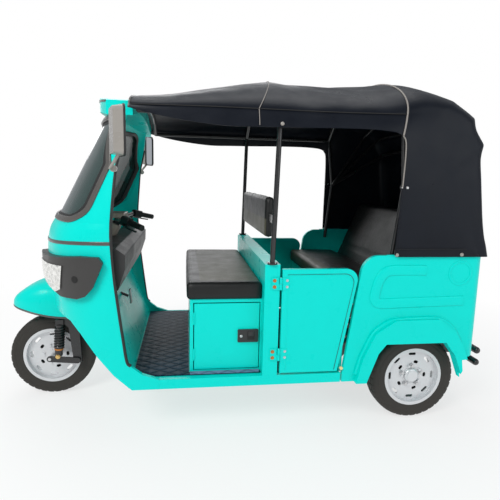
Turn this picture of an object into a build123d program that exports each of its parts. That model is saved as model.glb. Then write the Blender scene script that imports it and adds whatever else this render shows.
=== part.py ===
from build123d import *
from math import acos, asin, atan2, cos, degrees, radians, sin, sqrt, tan
import os

# Electric passenger tricycle with a closed front cowl and a folding hood.
# Millimetres. +X is forward, +Y is the left side, +Z is up, z = 0 is the road,
# and x = 0, y = 0 is the middle of the overall length and width.

os.makedirs("parts", exist_ok=True)

# Overall layout
fender_tip_x = 1300
rear_tip_x = -1342
front_axle_x = 1102
wheelbase = 2035
rear_axle_x = front_axle_x - wheelbase
body_half_width = 600
flare_out = 34
seat_clearance = 0.3
running_gap = 8

# Wheels
tyre_radius = 240
tyre_half_width = 56
bead_radius = 153
rim_flange_radius = 165
rim_half_width = 50
rim_wall = 5
disc_offset = 22
hub_hole_radius = 20
stud_circle_radius = 56
stud_count = 5
slot_count = 8
slot_circle_radius = 124
slot_length = 42
slot_width = 15
vent_circle_radius = 80
vent_start_deg = 36
vent_length = 27
vent_width = 17
stud_radius = 8
stud_height = 12
hub_radius = 30
front_hub_half = 40
rear_track_half = 480
wheel_clearance = 0.3

# Steering
rake_deg = 25
steer_x = 960
steer_z = 520
stem_radius = 17
head_tube_radius = 30
head_tube_length = 200
head_tube_start = 50
stem_clearance = 0.5
stem_length = 560
crown_half_width = 112
crown_thickness = 30
crown_length = 90
fork_leg_y = 92
fork_leg_width = 22
fork_leg_depth = 46
link_pivot_x = 947
link_pivot_z = 226
link_thickness = 12
link_height = 34
axle_radius = 9
damper_top_x = 1039
damper_top_z = 440
damper_radius = 22
damper_foot_x = 1052
damper_foot_z = 262
damper_y = 109
bar_radius = 11
bar_height = 1052
grip_radius = 16
grip_length = 122
bar_end_x = 546
bar_end_y = 352
bar_end_z = 1040
bar_bend_x = 650
bar_bend_y = 236
bar_bend_z = 1072
bar_clamp_x = 716
bar_clamp_y = 60
bar_bend_radius = 40
clamp_width = 70
clamp_depth = 40
clamp_height = 30
instrument_half_width = 82
instrument_height = 30
instrument_rise = 2

# Front cowl: plan shape of two arcs and a straight side, leaning back with height
nose_arc_radius = 900
corner_arc_radius = 337
cowl_wall = 24
cowl_foot_z = 262
screen_foot_z = 1083
screen_foot_x = 1029
screen_top_z = 1640
screen_lean = 0.511
window_low_z = 1092
window_middle_z = 1361
window_middle_half = 545
window_high_z = 1588
window_low_half = 552
window_high_half = 440
window_corner = 70
glass_thickness = 5
glass_inset = 10
glass_gap = 0.5
cowl_tail_x = 448
outline_back_x = 240

# Visor, mudguard, lamps and inner front
visor_back_x = 558
visor_nose_reach = 30
visor_side_x = 676
visor_half_width = body_half_width - 40
visor_middle_y = 300
visor_thickness = 64
fender_wall = 5
nose_block_wall = 300
nose_cut_z = 612
lamp_depth = 30
lamp_inner_y = 190
lens_depth = 5
dash_half_width = body_half_width - 40
bulkhead_thickness = 14
dash_back_x = 752
shield_head_x = 742
shield_head_z = 706
bulkhead_half_width = body_half_width - 40

# Floor, sills and frame
floor_top_z = 312
floor_sheet = 12
sill_low_z = 262
sill_wall = 34
sill_front_y = body_half_width - 24.8
mat_half_width = body_half_width - 38
mat_front_x = 578
floor_front_x = 600
floor_rear_x = -486
rail_y = 330
rail_width = 40
rail_low_z = 228
rear_rail_low_z = 345
rear_rail_high_z = 400
rear_rail_front_x = -620
rail_nose = 70
rear_rail_rear_x = -1216
mat_thickness = 6

# Driver's seat box and cushion
box_front_x = 297
box_half_width = body_half_width - 70
box_top_z = 700
box_wall = 14
hatch_front_x = 275
hatch_rear_x = -58
hatch_low_z = 331
hatch_high_z = 678
hatch_thickness = 6
hatch_gap = 5
battery_half_width = box_half_width - 230
battery_front_gap = 60
battery_length = 240
battery_height = 240
hatch_hinge_radius = 5
hatch_hinge_heights = (410, 600)
latch_x = 0
latch_z = 508
latch_width = 108
latch_height = 72
latch_depth = 6
cushion_height = 88
cushion_overhang = 16

# Partition, posts and driver's backrest
wall_front_x = -70
wall_rear_x = -146
wall_top_z = 891
post_radius = 12.5
post_foot_x = -106
post_foot_y = body_half_width - 8
post_head_x = -122
post_head_y = body_half_width - 2
backrest_low_z = 1006
backrest_high_z = 1216
backrest_thickness = 44
backrest_half_width = body_half_width - 150
post_flange = 8
backrest_bracket_depth = 14
backrest_bracket_height = 40

# Passenger doors
door_thickness = 28
door_front_x = -158.5
door_top_z = 867
door_low_z = 325
door_rear_top_x = -560
door_rear_low_x = -464
door_corner = 58
hinge_radius = 7
hinge_length = 62
hinge_heights = (795, 426)
hinge_x = -150
hinge_leaf = 3
hinge_leaf_width = 34
hinge_split = 0.5
hinge_post_x = -140
door_proud = 4

# Rear body
tub_rear_x = -1250
tub_top_z = 935
tub_wall = 24
tub_corner = 60
tub_low_z = 372
panel_front_low_x = -486
panel_front_top_x = -572
panel_corner = 95
arch_front_x = -618
arch_rear_x = -1150
arch_top_z = 472
arch_corner = 62
flare_width = 128
wheelhouse_wall = 10
wheelhouse_half_length = 256
wheelhouse_inner_y = 392
wheelhouse_top_z = 560
bench_front_x = -482
bench_top_z = 700
bench_wall = 16
bench_cushion_height = 86
bench_back_foot_x = -805
bench_back_head_x = -985
bench_back_head_z = 1140
bench_back_thickness = 84

# Hood: horizontal sections from the hem to the crown
hood_wall = 5
hood_front_x = 566
hood_hem_z = 930
hood_bend_z = 1480
hood_crown_half = 60
curtain_front_x = -738

# Roof frame under the hood
frame_tube_radius = 11
frame_rail_y = body_half_width - 10
frame_rail_z = 1600
valance_low_z = frame_rail_z - 52
hood_eaves_z = frame_rail_z + 100
frame_front_x = 530
frame_hoop_bend = 130
hoop_pivot_x = -775
hoop_rear_x = -742
hoop_pivot_z = 1280
hoop_pivot_y = body_half_width - 28
hoop_foot_x = -735
hoop_foot_y = body_half_width - 37
hoop_foot_z = 880
hoop_shoulder_y = body_half_width - 145
hoop_middle_y = body_half_width - 280
bow_gap = 4
bow_pin_radius = 8
bow_shoulder_y = 560
bow_top_y = 400

# Mirrors, lamps and bumper
mirror_height = 208
mirror_width = 150
mirror_depth = 44
mirror_x = 586
mirror_y = body_half_width + 128
mirror_z = 1492
mirror_yaw_deg = 16
mirror_corner = 26
mirror_rim = 4
mirror_arm_foot_x = 648
mirror_arm_z = 1336
mirror_arm_radius = 7
tail_lamp_height = 150
tail_lamp_width = 62
tail_lamp_depth = 24
tail_lamp_y = 470
tail_lamp_z = 640
bumper_tube_radius = 19
bumper_low_z = 302
bumper_high_z = 372
bumper_half_width = 505
bumper_bracket = 40

# Suspension and drive at the rear
axle_tube_radius = 32
leaf_width = 50
leaf_thickness = 8
leaf_count = 3
leaf_half_span = 270
motor_radius = 96
motor_length = 230
axle_tube_half = 400
axle_shaft_radius = 16
hub_stub = 20

# Values that follow from the sizes above
rake = radians(rake_deg)
steer_dir = Vector(-sin(rake), 0, cos(rake))
steer_plane = Plane(
    origin=(steer_x, 0, steer_z), x_dir=(cos(rake), 0, sin(rake)), z_dir=steer_dir
)
corner_center_y = body_half_width - corner_arc_radius
corner_angle = asin(corner_center_y / (nose_arc_radius - corner_arc_radius))
corner_depth = nose_arc_radius - (nose_arc_radius - corner_arc_radius) * cos(
    corner_angle
)
hatch_axis_y = box_half_width + hatch_thickness - 4
post_head_z = frame_rail_z - frame_tube_radius - seat_clearance
backrest_middle_x = (post_foot_x + post_head_x) / 2 + 2
screen_top_x = screen_foot_x - (screen_top_z - screen_foot_z) * screen_lean
visor_nose_x = screen_top_x + visor_nose_reach
visor_crown = (
    (-visor_half_width, screen_top_z - 60),
    (-visor_middle_y, screen_top_z - 15),
    (0, screen_top_z),
    (visor_middle_y, screen_top_z - 15),
    (visor_half_width, screen_top_z - 60),
)


def cowl_outline(nose_x, shift, back_x, wall):
    """Closed U in plan: outer face at the shift, inner face one wall further in."""
    angle = degrees(corner_angle)
    corner_x = nose_x - corner_depth
    arc_x = nose_x - nose_arc_radius
    outer_y = body_half_width + shift
    inner_y = outer_y - wall
    outer_side = corner_arc_radius + shift
    inner_side = outer_side - wall
    outer_nose = nose_arc_radius + shift
    with BuildSketch() as shape:
        with BuildLine():
            Line((back_x, outer_y), (corner_x, outer_y))
            CenterArc((corner_x, corner_center_y), outer_side, angle, 90 - angle)
            CenterArc((arc_x, 0), outer_nose, -angle, 2 * angle)
            CenterArc((corner_x, -corner_center_y), outer_side, -90, 90 - angle)
            Line((corner_x, -outer_y), (back_x, -outer_y))
            Line((back_x, -outer_y), (back_x, -inner_y))
            Line((back_x, -inner_y), (corner_x, -inner_y))
            CenterArc((corner_x, -corner_center_y), inner_side, -90, 90 - angle)
            CenterArc((arc_x, 0), outer_nose - wall, -angle, 2 * angle)
            CenterArc((corner_x, corner_center_y), inner_side, angle, 90 - angle)
            Line((corner_x, inner_y), (back_x, inner_y))
            Line((back_x, inner_y), (back_x, outer_y))
        make_face()
    return shape.sketch


def nose_at(height):
    """Nose of the cowl at a height between its first two stations."""
    (low_z, low_x), (high_z, high_x) = cowl_stations[:2]
    return low_x + (high_x - low_x) * (height - low_z) / (high_z - low_z)


def rounded(points, radius):
    """Closed polygon in the open sketch with all its corners rounded alike."""
    with BuildSketch() as shape:
        with BuildLine():
            Polyline(*points, close=True)
        make_face()
        fillet(shape.vertices(), radius)
    return shape.sketch


# Nose line of the cowl: height, x of the nose
cowl_stations = (
    (cowl_foot_z, 985),
    (700, 1062),
    (880, 1080),
    (1056, 1062),
    (screen_foot_z, screen_foot_x),
    (screen_top_z, screen_top_x),
)

# Edge of the cowl seen from the side: sill, wheel cut, nose, header, door opening
cowl_side_edge = (
    (cowl_tail_x, cowl_foot_z),
    (579, cowl_foot_z),
    (665, 338),
    (743, 430),
    (822, 538),
    (877, 596),
    (940, nose_cut_z),
    (1200, nose_cut_z),
    (1200, 1700),
    (545, 1700),
    (545, 1622),
    (588, 1604),
    (602, 1509),
    (638, 1348),
    (653, 1213),
    (665, 1061),
    (663, 944),
    (650, 776),
    (620, 523),
    (604, 411),
    (577, 379),
    (530, 341),
    (cowl_tail_x, floor_top_z),
)

window_shape = rounded(
    (
        (-window_low_half, window_low_z),
        (window_low_half, window_low_z),
        (window_middle_half, window_middle_z),
        (window_high_half, window_high_z),
        (-window_high_half, window_high_z),
        (-window_middle_half, window_middle_z),
    ),
    window_corner,
)
glass_shape = offset(window_shape, amount=-glass_gap)
cowl_outlines = [
    (height, cowl_outline(nose_x, 0, outline_back_x, cowl_wall))
    for height, nose_x in cowl_stations
]
glass_outlines = [
    (height, cowl_outline(nose_x, -glass_inset, outline_back_x, glass_thickness))
    for height, nose_x in cowl_stations[-2:]
]


def store(piece, name):
    """Names a finished piece and writes it."""
    piece.label = name
    export_step(piece, f"parts/{name}.step")


def beam(points, radius, bend):
    """Round bar along straight runs joined by bends."""
    with BuildPart() as piece:
        with BuildLine() as path:
            if bend:
                FilletPolyline(*points, radius=bend)
            else:
                Polyline(*points)
        start = path.line @ 0
        way = path.line % 0
        with BuildSketch(Plane(origin=start, z_dir=way)):
            Circle(radius)
        sweep(transition=Transition.ROUND)
    return piece.part


def between(side, near_y, far_y):
    """The two values of y on one side, the lower one first."""
    return sorted((side * near_y, side * far_y))


def beveled_box(low, high, radius):
    """Box between two corners with all edges rounded."""
    size = [top - bottom for bottom, top in zip(low, high)]
    middle = [(top + bottom) / 2 for bottom, top in zip(low, high)]
    with BuildPart(Plane.XY.offset(0)) as piece:
        with Locations(tuple(middle)):
            Box(*size)
        if radius:
            fillet(piece.edges(), radius)
    return piece.part


def side_prism(points, low_y, high_y, radius=0):
    """Polygon seen from the side, given as x and z, between two values of y."""
    with BuildPart() as piece:
        with BuildSketch(Plane.XZ.offset(-high_y)):
            with BuildLine():
                Polyline(*points, close=True)
            make_face()
        extrude(amount=high_y - low_y)
        if radius:
            fillet(piece.edges().filter_by(Axis.Y), radius)
    return piece.part


with BuildPart() as front_cowl:
    for height, outline in cowl_outlines:
        with BuildSketch(Plane.XY.offset(height)):
            add(outline)
    loft(ruled=True)
    with BuildSketch(Plane.XZ):
        with BuildLine():
            Polyline(*cowl_side_edge, close=True)
        make_face()
    extrude(amount=2 * body_half_width, both=True, mode=Mode.INTERSECT)
    with BuildSketch(Plane.YZ.offset(cowl_tail_x)):
        add(window_shape)
        with BuildLine():
            Polyline(
                *visor_crown,
                (2 * body_half_width, visor_crown[-1][1]),
                (2 * body_half_width, 2 * screen_top_z),
                (-2 * body_half_width, 2 * screen_top_z),
                (-2 * body_half_width, visor_crown[0][1]),
                close=True,
            )
        make_face()
    extrude(amount=fender_tip_x - cowl_tail_x, mode=Mode.SUBTRACT)
store(front_cowl.part, "front_cowl")

# Windscreen: a bent sheet inside the opening
with BuildPart() as windscreen:
    for height, outline in glass_outlines:
        with BuildSketch(Plane.XY.offset(height)):
            add(outline)
    loft(ruled=True)
    with BuildSketch(Plane.YZ.offset(cowl_tail_x)):
        add(glass_shape)
    extrude(amount=fender_tip_x - cowl_tail_x, mode=Mode.INTERSECT)
store(windscreen.part, "windscreen")

# Roof visor over the windscreen: crowned from side to side, with an arched front
with BuildPart() as roof_visor:
    with BuildSketch(Plane.YZ.offset(visor_back_x)):
        with BuildLine():
            Polyline(
                *[(y, z + seat_clearance) for y, z in visor_crown],
                *[(y, z + visor_thickness) for y, z in reversed(visor_crown)],
                close=True,
            )
        make_face()
    extrude(amount=visor_nose_x - visor_back_x)
    with BuildSketch(Plane.XY.offset(window_middle_z)):
        with BuildLine():
            Polyline(
                (visor_side_x, visor_half_width),
                (visor_back_x, visor_half_width),
                (visor_back_x, -visor_half_width),
                (visor_side_x, -visor_half_width),
            )
            ThreePointArc(
                (visor_side_x, -visor_half_width),
                (visor_nose_x, 0),
                (visor_side_x, visor_half_width),
            )
        make_face()
    extrude(amount=frame_rail_z, mode=Mode.INTERSECT)
store(roof_visor.part, "roof_visor")

# Front mudguard: x, lower edge, top, half width
fender_stations = (
    (962, 500, 660, 150),
    (1100, 520, 694, 166),
    (1215, 548, 655, 142),
    (fender_tip_x, 556, 590, 60),
)


def fender_form(sheet):
    """Arched mudguard drawn in by the thickness of its sheet."""
    with BuildPart() as form:
        for x, low, high, half in fender_stations:
            half_width = half - sheet
            top = high - sheet
            bottom = low - 2 * sheet
            spring = bottom + (top - bottom) / 2
            with BuildSketch(Plane.YZ.offset(x - sheet)):
                with BuildLine():
                    Polyline(
                        (-half_width, spring),
                        (-half_width, bottom),
                        (half_width, bottom),
                        (half_width, spring),
                    )
                    ThreePointArc(
                        (half_width, spring), (0, top), (-half_width, spring)
                    )
                make_face()
        loft(ruled=True)
    return form.part


fender_shell = fender_form(0)
fender_inside = fender_form(fender_wall)
nose_block_outlines = [
    (height, cowl_outline(nose_x, seat_clearance, outline_back_x, nose_block_wall))
    for height, nose_x in (
        (nose_cut_z - seat_clearance, nose_at(nose_cut_z - seat_clearance)),
        *cowl_stations[1:3],
    )
]
with BuildPart() as nose_block:
    for height, outline in nose_block_outlines:
        with BuildSketch(Plane.XY.offset(height)):
            add(outline)
    loft(ruled=True)
with BuildPart() as front_fender:
    add(fender_shell)
    add(fender_inside, mode=Mode.SUBTRACT)
    add(nose_block.part, mode=Mode.SUBTRACT)
store(front_fender.part, "front_fender")

# Headlamp units wrap the corners of the cowl, with a lens near the nose
lamp_edge = (
    (1110, 900),
    (980, 914),
    (804, 931),
    (716, 929),
    (698, 902),
    (748, 782),
    (784, 742),
    (826, 726),
    (915, 726),
    (966, 750),
    (1004, 800),
    (1110, 800),
)
lens_edge = ((1060, 878), (900, 880), (912, 764), (944, 744), (1060, 790))
lamp_stations = [
    (height, nose_x) for height, nose_x in cowl_stations if 650 < height < 1060
]


def cowl_skin(shift, depth, edge, low_y, high_y):
    """Piece that follows the cowl from the shift outwards, cut to a side shape."""
    outlines = [
        (height, cowl_outline(nose_x, shift + depth, outline_back_x, depth))
        for height, nose_x in lamp_stations
    ]
    cutter = side_prism(edge, low_y, high_y)
    with BuildPart() as skin:
        for height, outline in outlines:
            with BuildSketch(Plane.XY.offset(height)):
                add(outline)
        loft(ruled=True)
        add(cutter, mode=Mode.INTERSECT)
    return skin.part


lamp_unit = cowl_skin(
    seat_clearance, lamp_depth, lamp_edge, lamp_inner_y, body_half_width + flare_out
)
lens_unit = cowl_skin(
    seat_clearance + lamp_depth + seat_clearance,
    lens_depth,
    lens_edge,
    lamp_inner_y,
    body_half_width,
)
with BuildPart() as headlamp_housings:
    add(lamp_unit)
    mirror(about=Plane.XZ)
store(headlamp_housings.part, "headlamp_housings")
with BuildPart() as headlamp_lenses:
    add(lens_unit)
    mirror(about=Plane.XZ)
store(headlamp_lenses.part, "headlamp_lenses")

# Dash, leg shield and brake pedal inside the cowl
dash_shape = (
    (dash_back_x, shield_head_z),
    (700, shield_head_z),
    (640, 760),
    (606, 862),
    (604, 930),
    (650, 962),
    (dash_back_x, 962),
)
dash_block = side_prism(dash_shape, -dash_half_width, dash_half_width, 12)
with BuildPart() as dash_console:
    add(dash_block)
    with BuildSketch(
        Plane(origin=(steer_x, 0, steer_z), x_dir=(0, 1, 0), z_dir=steer_dir)
    ):
        Circle(stem_radius + running_gap)
    extrude(amount=stem_length, mode=Mode.SUBTRACT)
store(dash_console.part, "dash_console")
leg_shield = side_prism(
    (
        (shield_head_x, shield_head_z - seat_clearance),
        (floor_front_x, floor_top_z + seat_clearance),
        (floor_front_x - bulkhead_thickness, floor_top_z + seat_clearance),
        (shield_head_x - bulkhead_thickness, shield_head_z - seat_clearance),
    ),
    -bulkhead_half_width,
    bulkhead_half_width,
)
store(leg_shield, "leg_shield")

# Floor pan with its sills, and the quilted mat on it
sill_inner_y = body_half_width - sill_wall
with BuildPart() as floor_pan:
    with BuildSketch(Plane.XY.offset(sill_low_z)):
        with BuildLine():
            Polyline(
                (floor_rear_x, -body_half_width),
                (cowl_tail_x - seat_clearance, -body_half_width),
                (cowl_tail_x - seat_clearance, -sill_front_y),
                (floor_front_x, -sill_front_y),
                (floor_front_x, sill_front_y),
                (cowl_tail_x - seat_clearance, sill_front_y),
                (cowl_tail_x - seat_clearance, body_half_width),
                (floor_rear_x, body_half_width),
                close=True,
            )
        make_face()
    extrude(amount=floor_top_z - sill_low_z)
    with BuildSketch(Plane.XY.offset(sill_low_z)):
        with BuildLine():
            Polyline(
                (floor_rear_x - 1, -sill_inner_y),
                (floor_front_x - sill_wall, -sill_inner_y),
                (floor_front_x - sill_wall, sill_inner_y),
                (floor_rear_x - 1, sill_inner_y),
                close=True,
            )
        make_face()
    extrude(amount=floor_top_z - floor_sheet - sill_low_z, mode=Mode.SUBTRACT)
store(floor_pan.part, "floor_pan")

mat_low_z = floor_top_z + seat_clearance
with BuildPart() as floor_mat:
    with BuildSketch(Plane.XY.offset(mat_low_z)):
        with BuildLine():
            Polyline(
                (wall_front_x + 4, box_half_width + 8),
                (box_front_x + 4, box_half_width + 8),
                (box_front_x + 4, -box_half_width - 8),
                (wall_front_x + 4, -box_half_width - 8),
                (wall_front_x + 4, -mat_half_width),
                (mat_front_x, -mat_half_width),
                (mat_front_x, mat_half_width),
                (wall_front_x + 4, mat_half_width),
                close=True,
            )
        make_face()
    extrude(amount=mat_thickness)
    with BuildSketch(Plane.XY.offset(mat_low_z)):
        with BuildLine():
            Polyline(
                (wall_rear_x - 4, -mat_half_width),
                (bench_front_x + 4, -mat_half_width),
                (bench_front_x + 4, mat_half_width),
                (wall_rear_x - 4, mat_half_width),
                close=True,
            )
        make_face()
    extrude(amount=mat_thickness)
store(floor_mat.part, "floor_mat")

# Frame: two rails with a kick-up over the rear axle, cross members, head tube
rail_top_z = floor_top_z - floor_sheet
rail_side = (
    (floor_front_x + rail_nose, rail_low_z),
    (floor_front_x + rail_nose, sill_low_z),
    (floor_front_x - sill_wall, sill_low_z),
    (floor_front_x - sill_wall, rail_top_z),
    (bench_front_x - bench_wall - seat_clearance, rail_top_z),
    (rear_rail_front_x, rear_rail_high_z),
    (rear_rail_rear_x, rear_rail_high_z),
    (rear_rail_rear_x, rear_rail_low_z),
    (rear_rail_front_x, rear_rail_low_z),
    (bench_front_x - 50, rail_low_z),
)
head_low = Vector(steer_x, 0, steer_z) + steer_dir * head_tube_start
head_high = head_low + steer_dir * head_tube_length
down_tubes = [
    beam(
        [
            tuple(head_low + steer_dir * 60 + Vector(-16, side * 24, 0)),
            (floor_front_x + 50, side * (rail_y - 40), sill_low_z - 10),
        ],
        18,
        0,
    )
    for side in (1, -1)
]
rails = [
    side_prism(rail_side, side * rail_y - rail_width / 2, side * rail_y + rail_width / 2)
    for side in (1, -1)
]
with BuildPart() as chassis_frame:
    for rail in rails:
        add(rail)
    for x, low_z, high_z in (
        (floor_front_x + 40, rail_low_z, sill_low_z),
        (240, rail_low_z, rail_top_z),
        (-110, rail_low_z, rail_top_z),
        (-440, rail_low_z, rail_top_z),
        (rear_rail_front_x - 36, rear_rail_low_z, rear_rail_high_z),
        (rear_rail_rear_x + 30, rear_rail_low_z, rear_rail_high_z),
    ):
        with Locations((x, 0, (low_z + high_z) / 2)):
            Box(60, 2 * rail_y, high_z - low_z)
    for tube in down_tubes:
        add(tube)
    with BuildSketch(Plane(origin=head_low, x_dir=(0, 1, 0), z_dir=steer_dir)):
        Circle(head_tube_radius)
    extrude(amount=head_tube_length)
    with BuildSketch(
        Plane(origin=head_low - steer_dir * 20, x_dir=(0, 1, 0), z_dir=steer_dir)
    ):
        Circle(stem_radius + stem_clearance)
    extrude(amount=head_tube_length + 60, mode=Mode.SUBTRACT)
store(chassis_frame.part, "chassis_frame")

# Driver's seat box with its hatch opening on the left, and the battery in it
with BuildPart() as driver_seat_box:
    with BuildSketch(Plane.XY.offset(mat_low_z - seat_clearance)):
        with BuildLine():
            Polyline(
                (wall_front_x + seat_clearance, -box_half_width),
                (box_front_x, -box_half_width),
                (box_front_x, box_half_width),
                (wall_front_x + seat_clearance, box_half_width),
                close=True,
            )
        make_face()
    extrude(amount=box_top_z - floor_top_z)
    with BuildSketch(Plane.XY.offset(floor_top_z - 1)):
        with BuildLine():
            Polyline(
                (wall_front_x + box_wall, -box_half_width + box_wall),
                (box_front_x - box_wall, -box_half_width + box_wall),
                (box_front_x - box_wall, box_half_width - box_wall),
                (wall_front_x + box_wall, box_half_width - box_wall),
                close=True,
            )
        make_face()
    extrude(amount=box_top_z - floor_top_z - box_wall + 1, mode=Mode.SUBTRACT)
    with BuildSketch(Plane.XZ.offset(-box_half_width - 10)):
        with BuildLine():
            Polyline(
                (hatch_front_x + hatch_gap, hatch_low_z - hatch_gap),
                (hatch_front_x + hatch_gap, hatch_high_z + hatch_gap),
                (hatch_rear_x - hatch_gap, hatch_high_z + hatch_gap),
                (hatch_rear_x - hatch_gap, hatch_low_z - hatch_gap),
                close=True,
            )
        make_face()
    extrude(amount=10 + box_wall + 10, mode=Mode.SUBTRACT)
store(driver_seat_box.part, "driver_seat_box")

battery_pack = beveled_box(
    (
        box_front_x - battery_front_gap - battery_length,
        -battery_half_width,
        floor_top_z,
    ),
    (box_front_x - battery_front_gap, battery_half_width, floor_top_z + battery_height),
    0,
)
store(battery_pack, "battery_pack")

with BuildPart() as seat_hatch:
    with BuildSketch(Plane.XZ.offset(-box_half_width - hatch_thickness + 4)):
        with BuildLine():
            Polyline(
                (hatch_front_x, hatch_low_z),
                (hatch_front_x, hatch_high_z),
                (hatch_rear_x, hatch_high_z),
                (hatch_rear_x, hatch_low_z),
                close=True,
            )
        make_face()
    extrude(amount=hatch_thickness)
    for height in hatch_hinge_heights:
        with Locations((hatch_front_x, hatch_axis_y, height)):
            Cylinder(hatch_hinge_radius, hinge_length)
    with Locations(
        (latch_x, box_half_width + hatch_thickness - 4 + latch_depth / 2, latch_z)
    ):
        Box(latch_width, latch_depth, latch_height)
store(seat_hatch.part, "seat_hatch")

driver_cushion = beveled_box(
    (wall_front_x + 2, -box_half_width - cushion_overhang, box_top_z + seat_clearance),
    (
        box_front_x + cushion_overhang,
        box_half_width + cushion_overhang,
        box_top_z + cushion_height,
    ),
    20,
)
store(driver_cushion, "driver_seat_cushion")

# Partition wall between driver and passengers, with its corner posts
partition_wall = beveled_box(
    (wall_rear_x, -body_half_width, floor_top_z),
    (wall_front_x, body_half_width, wall_top_z),
    0,
)
store(partition_wall, "partition_wall")

# Roof posts, leaning out a little towards the hood
with BuildPart() as roof_posts:
    for side in (1, -1):
        foot = Vector(post_foot_x, side * post_foot_y, wall_top_z)
        head = Vector(post_head_x, side * post_head_y, post_head_z)
        with BuildSketch(Plane(origin=foot, z_dir=(head - foot).normalized())):
            Circle(post_radius)
        extrude(amount=(head - foot).length)
        with Locations((post_foot_x, side * post_foot_y, wall_top_z + post_flange / 2)):
            Cylinder(2 * post_radius, post_flange)
    with Locations((0, 0, wall_top_z)):
        Box(
            4 * body_half_width,
            4 * body_half_width,
            2 * post_radius,
            align=(Align.CENTER, Align.CENTER, Align.MAX),
            mode=Mode.SUBTRACT,
        )
    for side in (1, -1):
        low_y, high_y = between(side, backrest_half_width + seat_clearance, post_foot_y)
        with Locations(
            (
                backrest_middle_x,
                (low_y + high_y) / 2,
                (backrest_low_z + backrest_high_z) / 2,
            )
        ):
            Box(backrest_bracket_depth, high_y - low_y, backrest_bracket_height)
store(roof_posts.part, "roof_posts")

driver_backrest = beveled_box(
    (
        backrest_middle_x - backrest_thickness / 2,
        -backrest_half_width,
        backrest_low_z,
    ),
    (
        backrest_middle_x + backrest_thickness / 2,
        backrest_half_width,
        backrest_high_z,
    ),
    14,
)
store(driver_backrest, "driver_backrest")

# Passenger doors hang on the partition's corner posts
door_outer_y = body_half_width + door_proud
door_inner_y = door_outer_y - door_thickness
hinge_y = door_outer_y + hinge_radius - 3


def door_leaf(side):
    """Door panel with its hinge straps and the upper half of each knuckle."""
    low_y, high_y = between(side, door_inner_y, door_outer_y)
    with BuildPart() as leaf:
        with BuildSketch(Plane.XZ.offset(-high_y)):
            with BuildLine():
                Polyline(
                    (door_front_x, door_low_z),
                    (door_front_x, door_top_z),
                    (door_rear_top_x, door_top_z),
                    (door_rear_low_x, door_low_z),
                    close=True,
                )
            make_face()
        extrude(amount=door_thickness)
        fillet(
            leaf.edges().filter_by(Axis.Y).group_by(Axis.X)[0].group_by(Axis.Z)[-1],
            door_corner,
        )
        strap_low, strap_high = between(
            side, door_outer_y, door_outer_y + hinge_leaf
        )
        for height in hinge_heights:
            with Locations(
                (
                    door_front_x - hinge_leaf_width / 2,
                    (strap_low + strap_high) / 2,
                    height,
                )
            ):
                Box(hinge_leaf_width, hinge_leaf, hinge_length)
            with Locations(
                (hinge_x, side * hinge_y, height + hinge_length / 4 + hinge_split)
            ):
                Cylinder(hinge_radius, hinge_length / 2 - 2 * hinge_split)
            with Locations(
                (
                    (hinge_x + door_front_x) / 2 - 4,
                    (strap_low + strap_high) / 2,
                    height + hinge_length / 4 + hinge_split,
                )
            ):
                Box(
                    abs(door_front_x - hinge_x) + 8,
                    hinge_leaf,
                    hinge_length / 2 - 2 * hinge_split,
                )
    return leaf.part


store(door_leaf(1), "door_left")
store(door_leaf(-1), "door_right")

with BuildPart() as door_hinges:
    for side in (1, -1):
        leaf_low, leaf_high = between(
            side, body_half_width + seat_clearance, door_outer_y + hinge_leaf
        )
        for height in hinge_heights:
            with Locations(
                (
                    hinge_post_x + hinge_leaf_width / 2,
                    (leaf_low + leaf_high) / 2,
                    height,
                )
            ):
                Box(hinge_leaf_width, leaf_high - leaf_low, hinge_length)
            with Locations(
                (hinge_x, side * hinge_y, height - hinge_length / 4 - hinge_split)
            ):
                Cylinder(hinge_radius, hinge_length / 2 - 2 * hinge_split)
            with Locations(
                (
                    (hinge_x + hinge_post_x) / 2 + 2,
                    side * (door_outer_y + hinge_leaf / 2),
                    height - hinge_length / 4 - hinge_split,
                )
            ):
                Box(
                    hinge_post_x - hinge_x + 4,
                    hinge_leaf,
                    hinge_length / 2 - 2 * hinge_split,
                )
store(door_hinges.part, "door_hinges")

# Rear body: side panels with flared wheel arches and rounded rear corners
arch_cut = (
    (arch_front_x + 6, sill_low_z - 20),
    (arch_front_x - 58, arch_top_z - 50),
    (arch_front_x - 98, arch_top_z),
    (arch_rear_x + 100, arch_top_z),
    (arch_rear_x + 40, arch_top_z - 78),
    (arch_rear_x - 20, sill_low_z - 20),
)
flare_edge = (
    (panel_front_low_x - 76, sill_low_z),
    (panel_front_low_x - 106, 391),
    (panel_front_low_x - 170, 530),
    (panel_front_low_x - 276, 598),
    (rear_axle_x - 70, 600),
    (rear_axle_x - 166, 530),
    (rear_axle_x - 216, 456),
    (rear_axle_x - 250, tub_low_z),
    (rear_axle_x - 250, tub_low_z - 20),
    (rear_axle_x - 200, sill_low_z),
)


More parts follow.
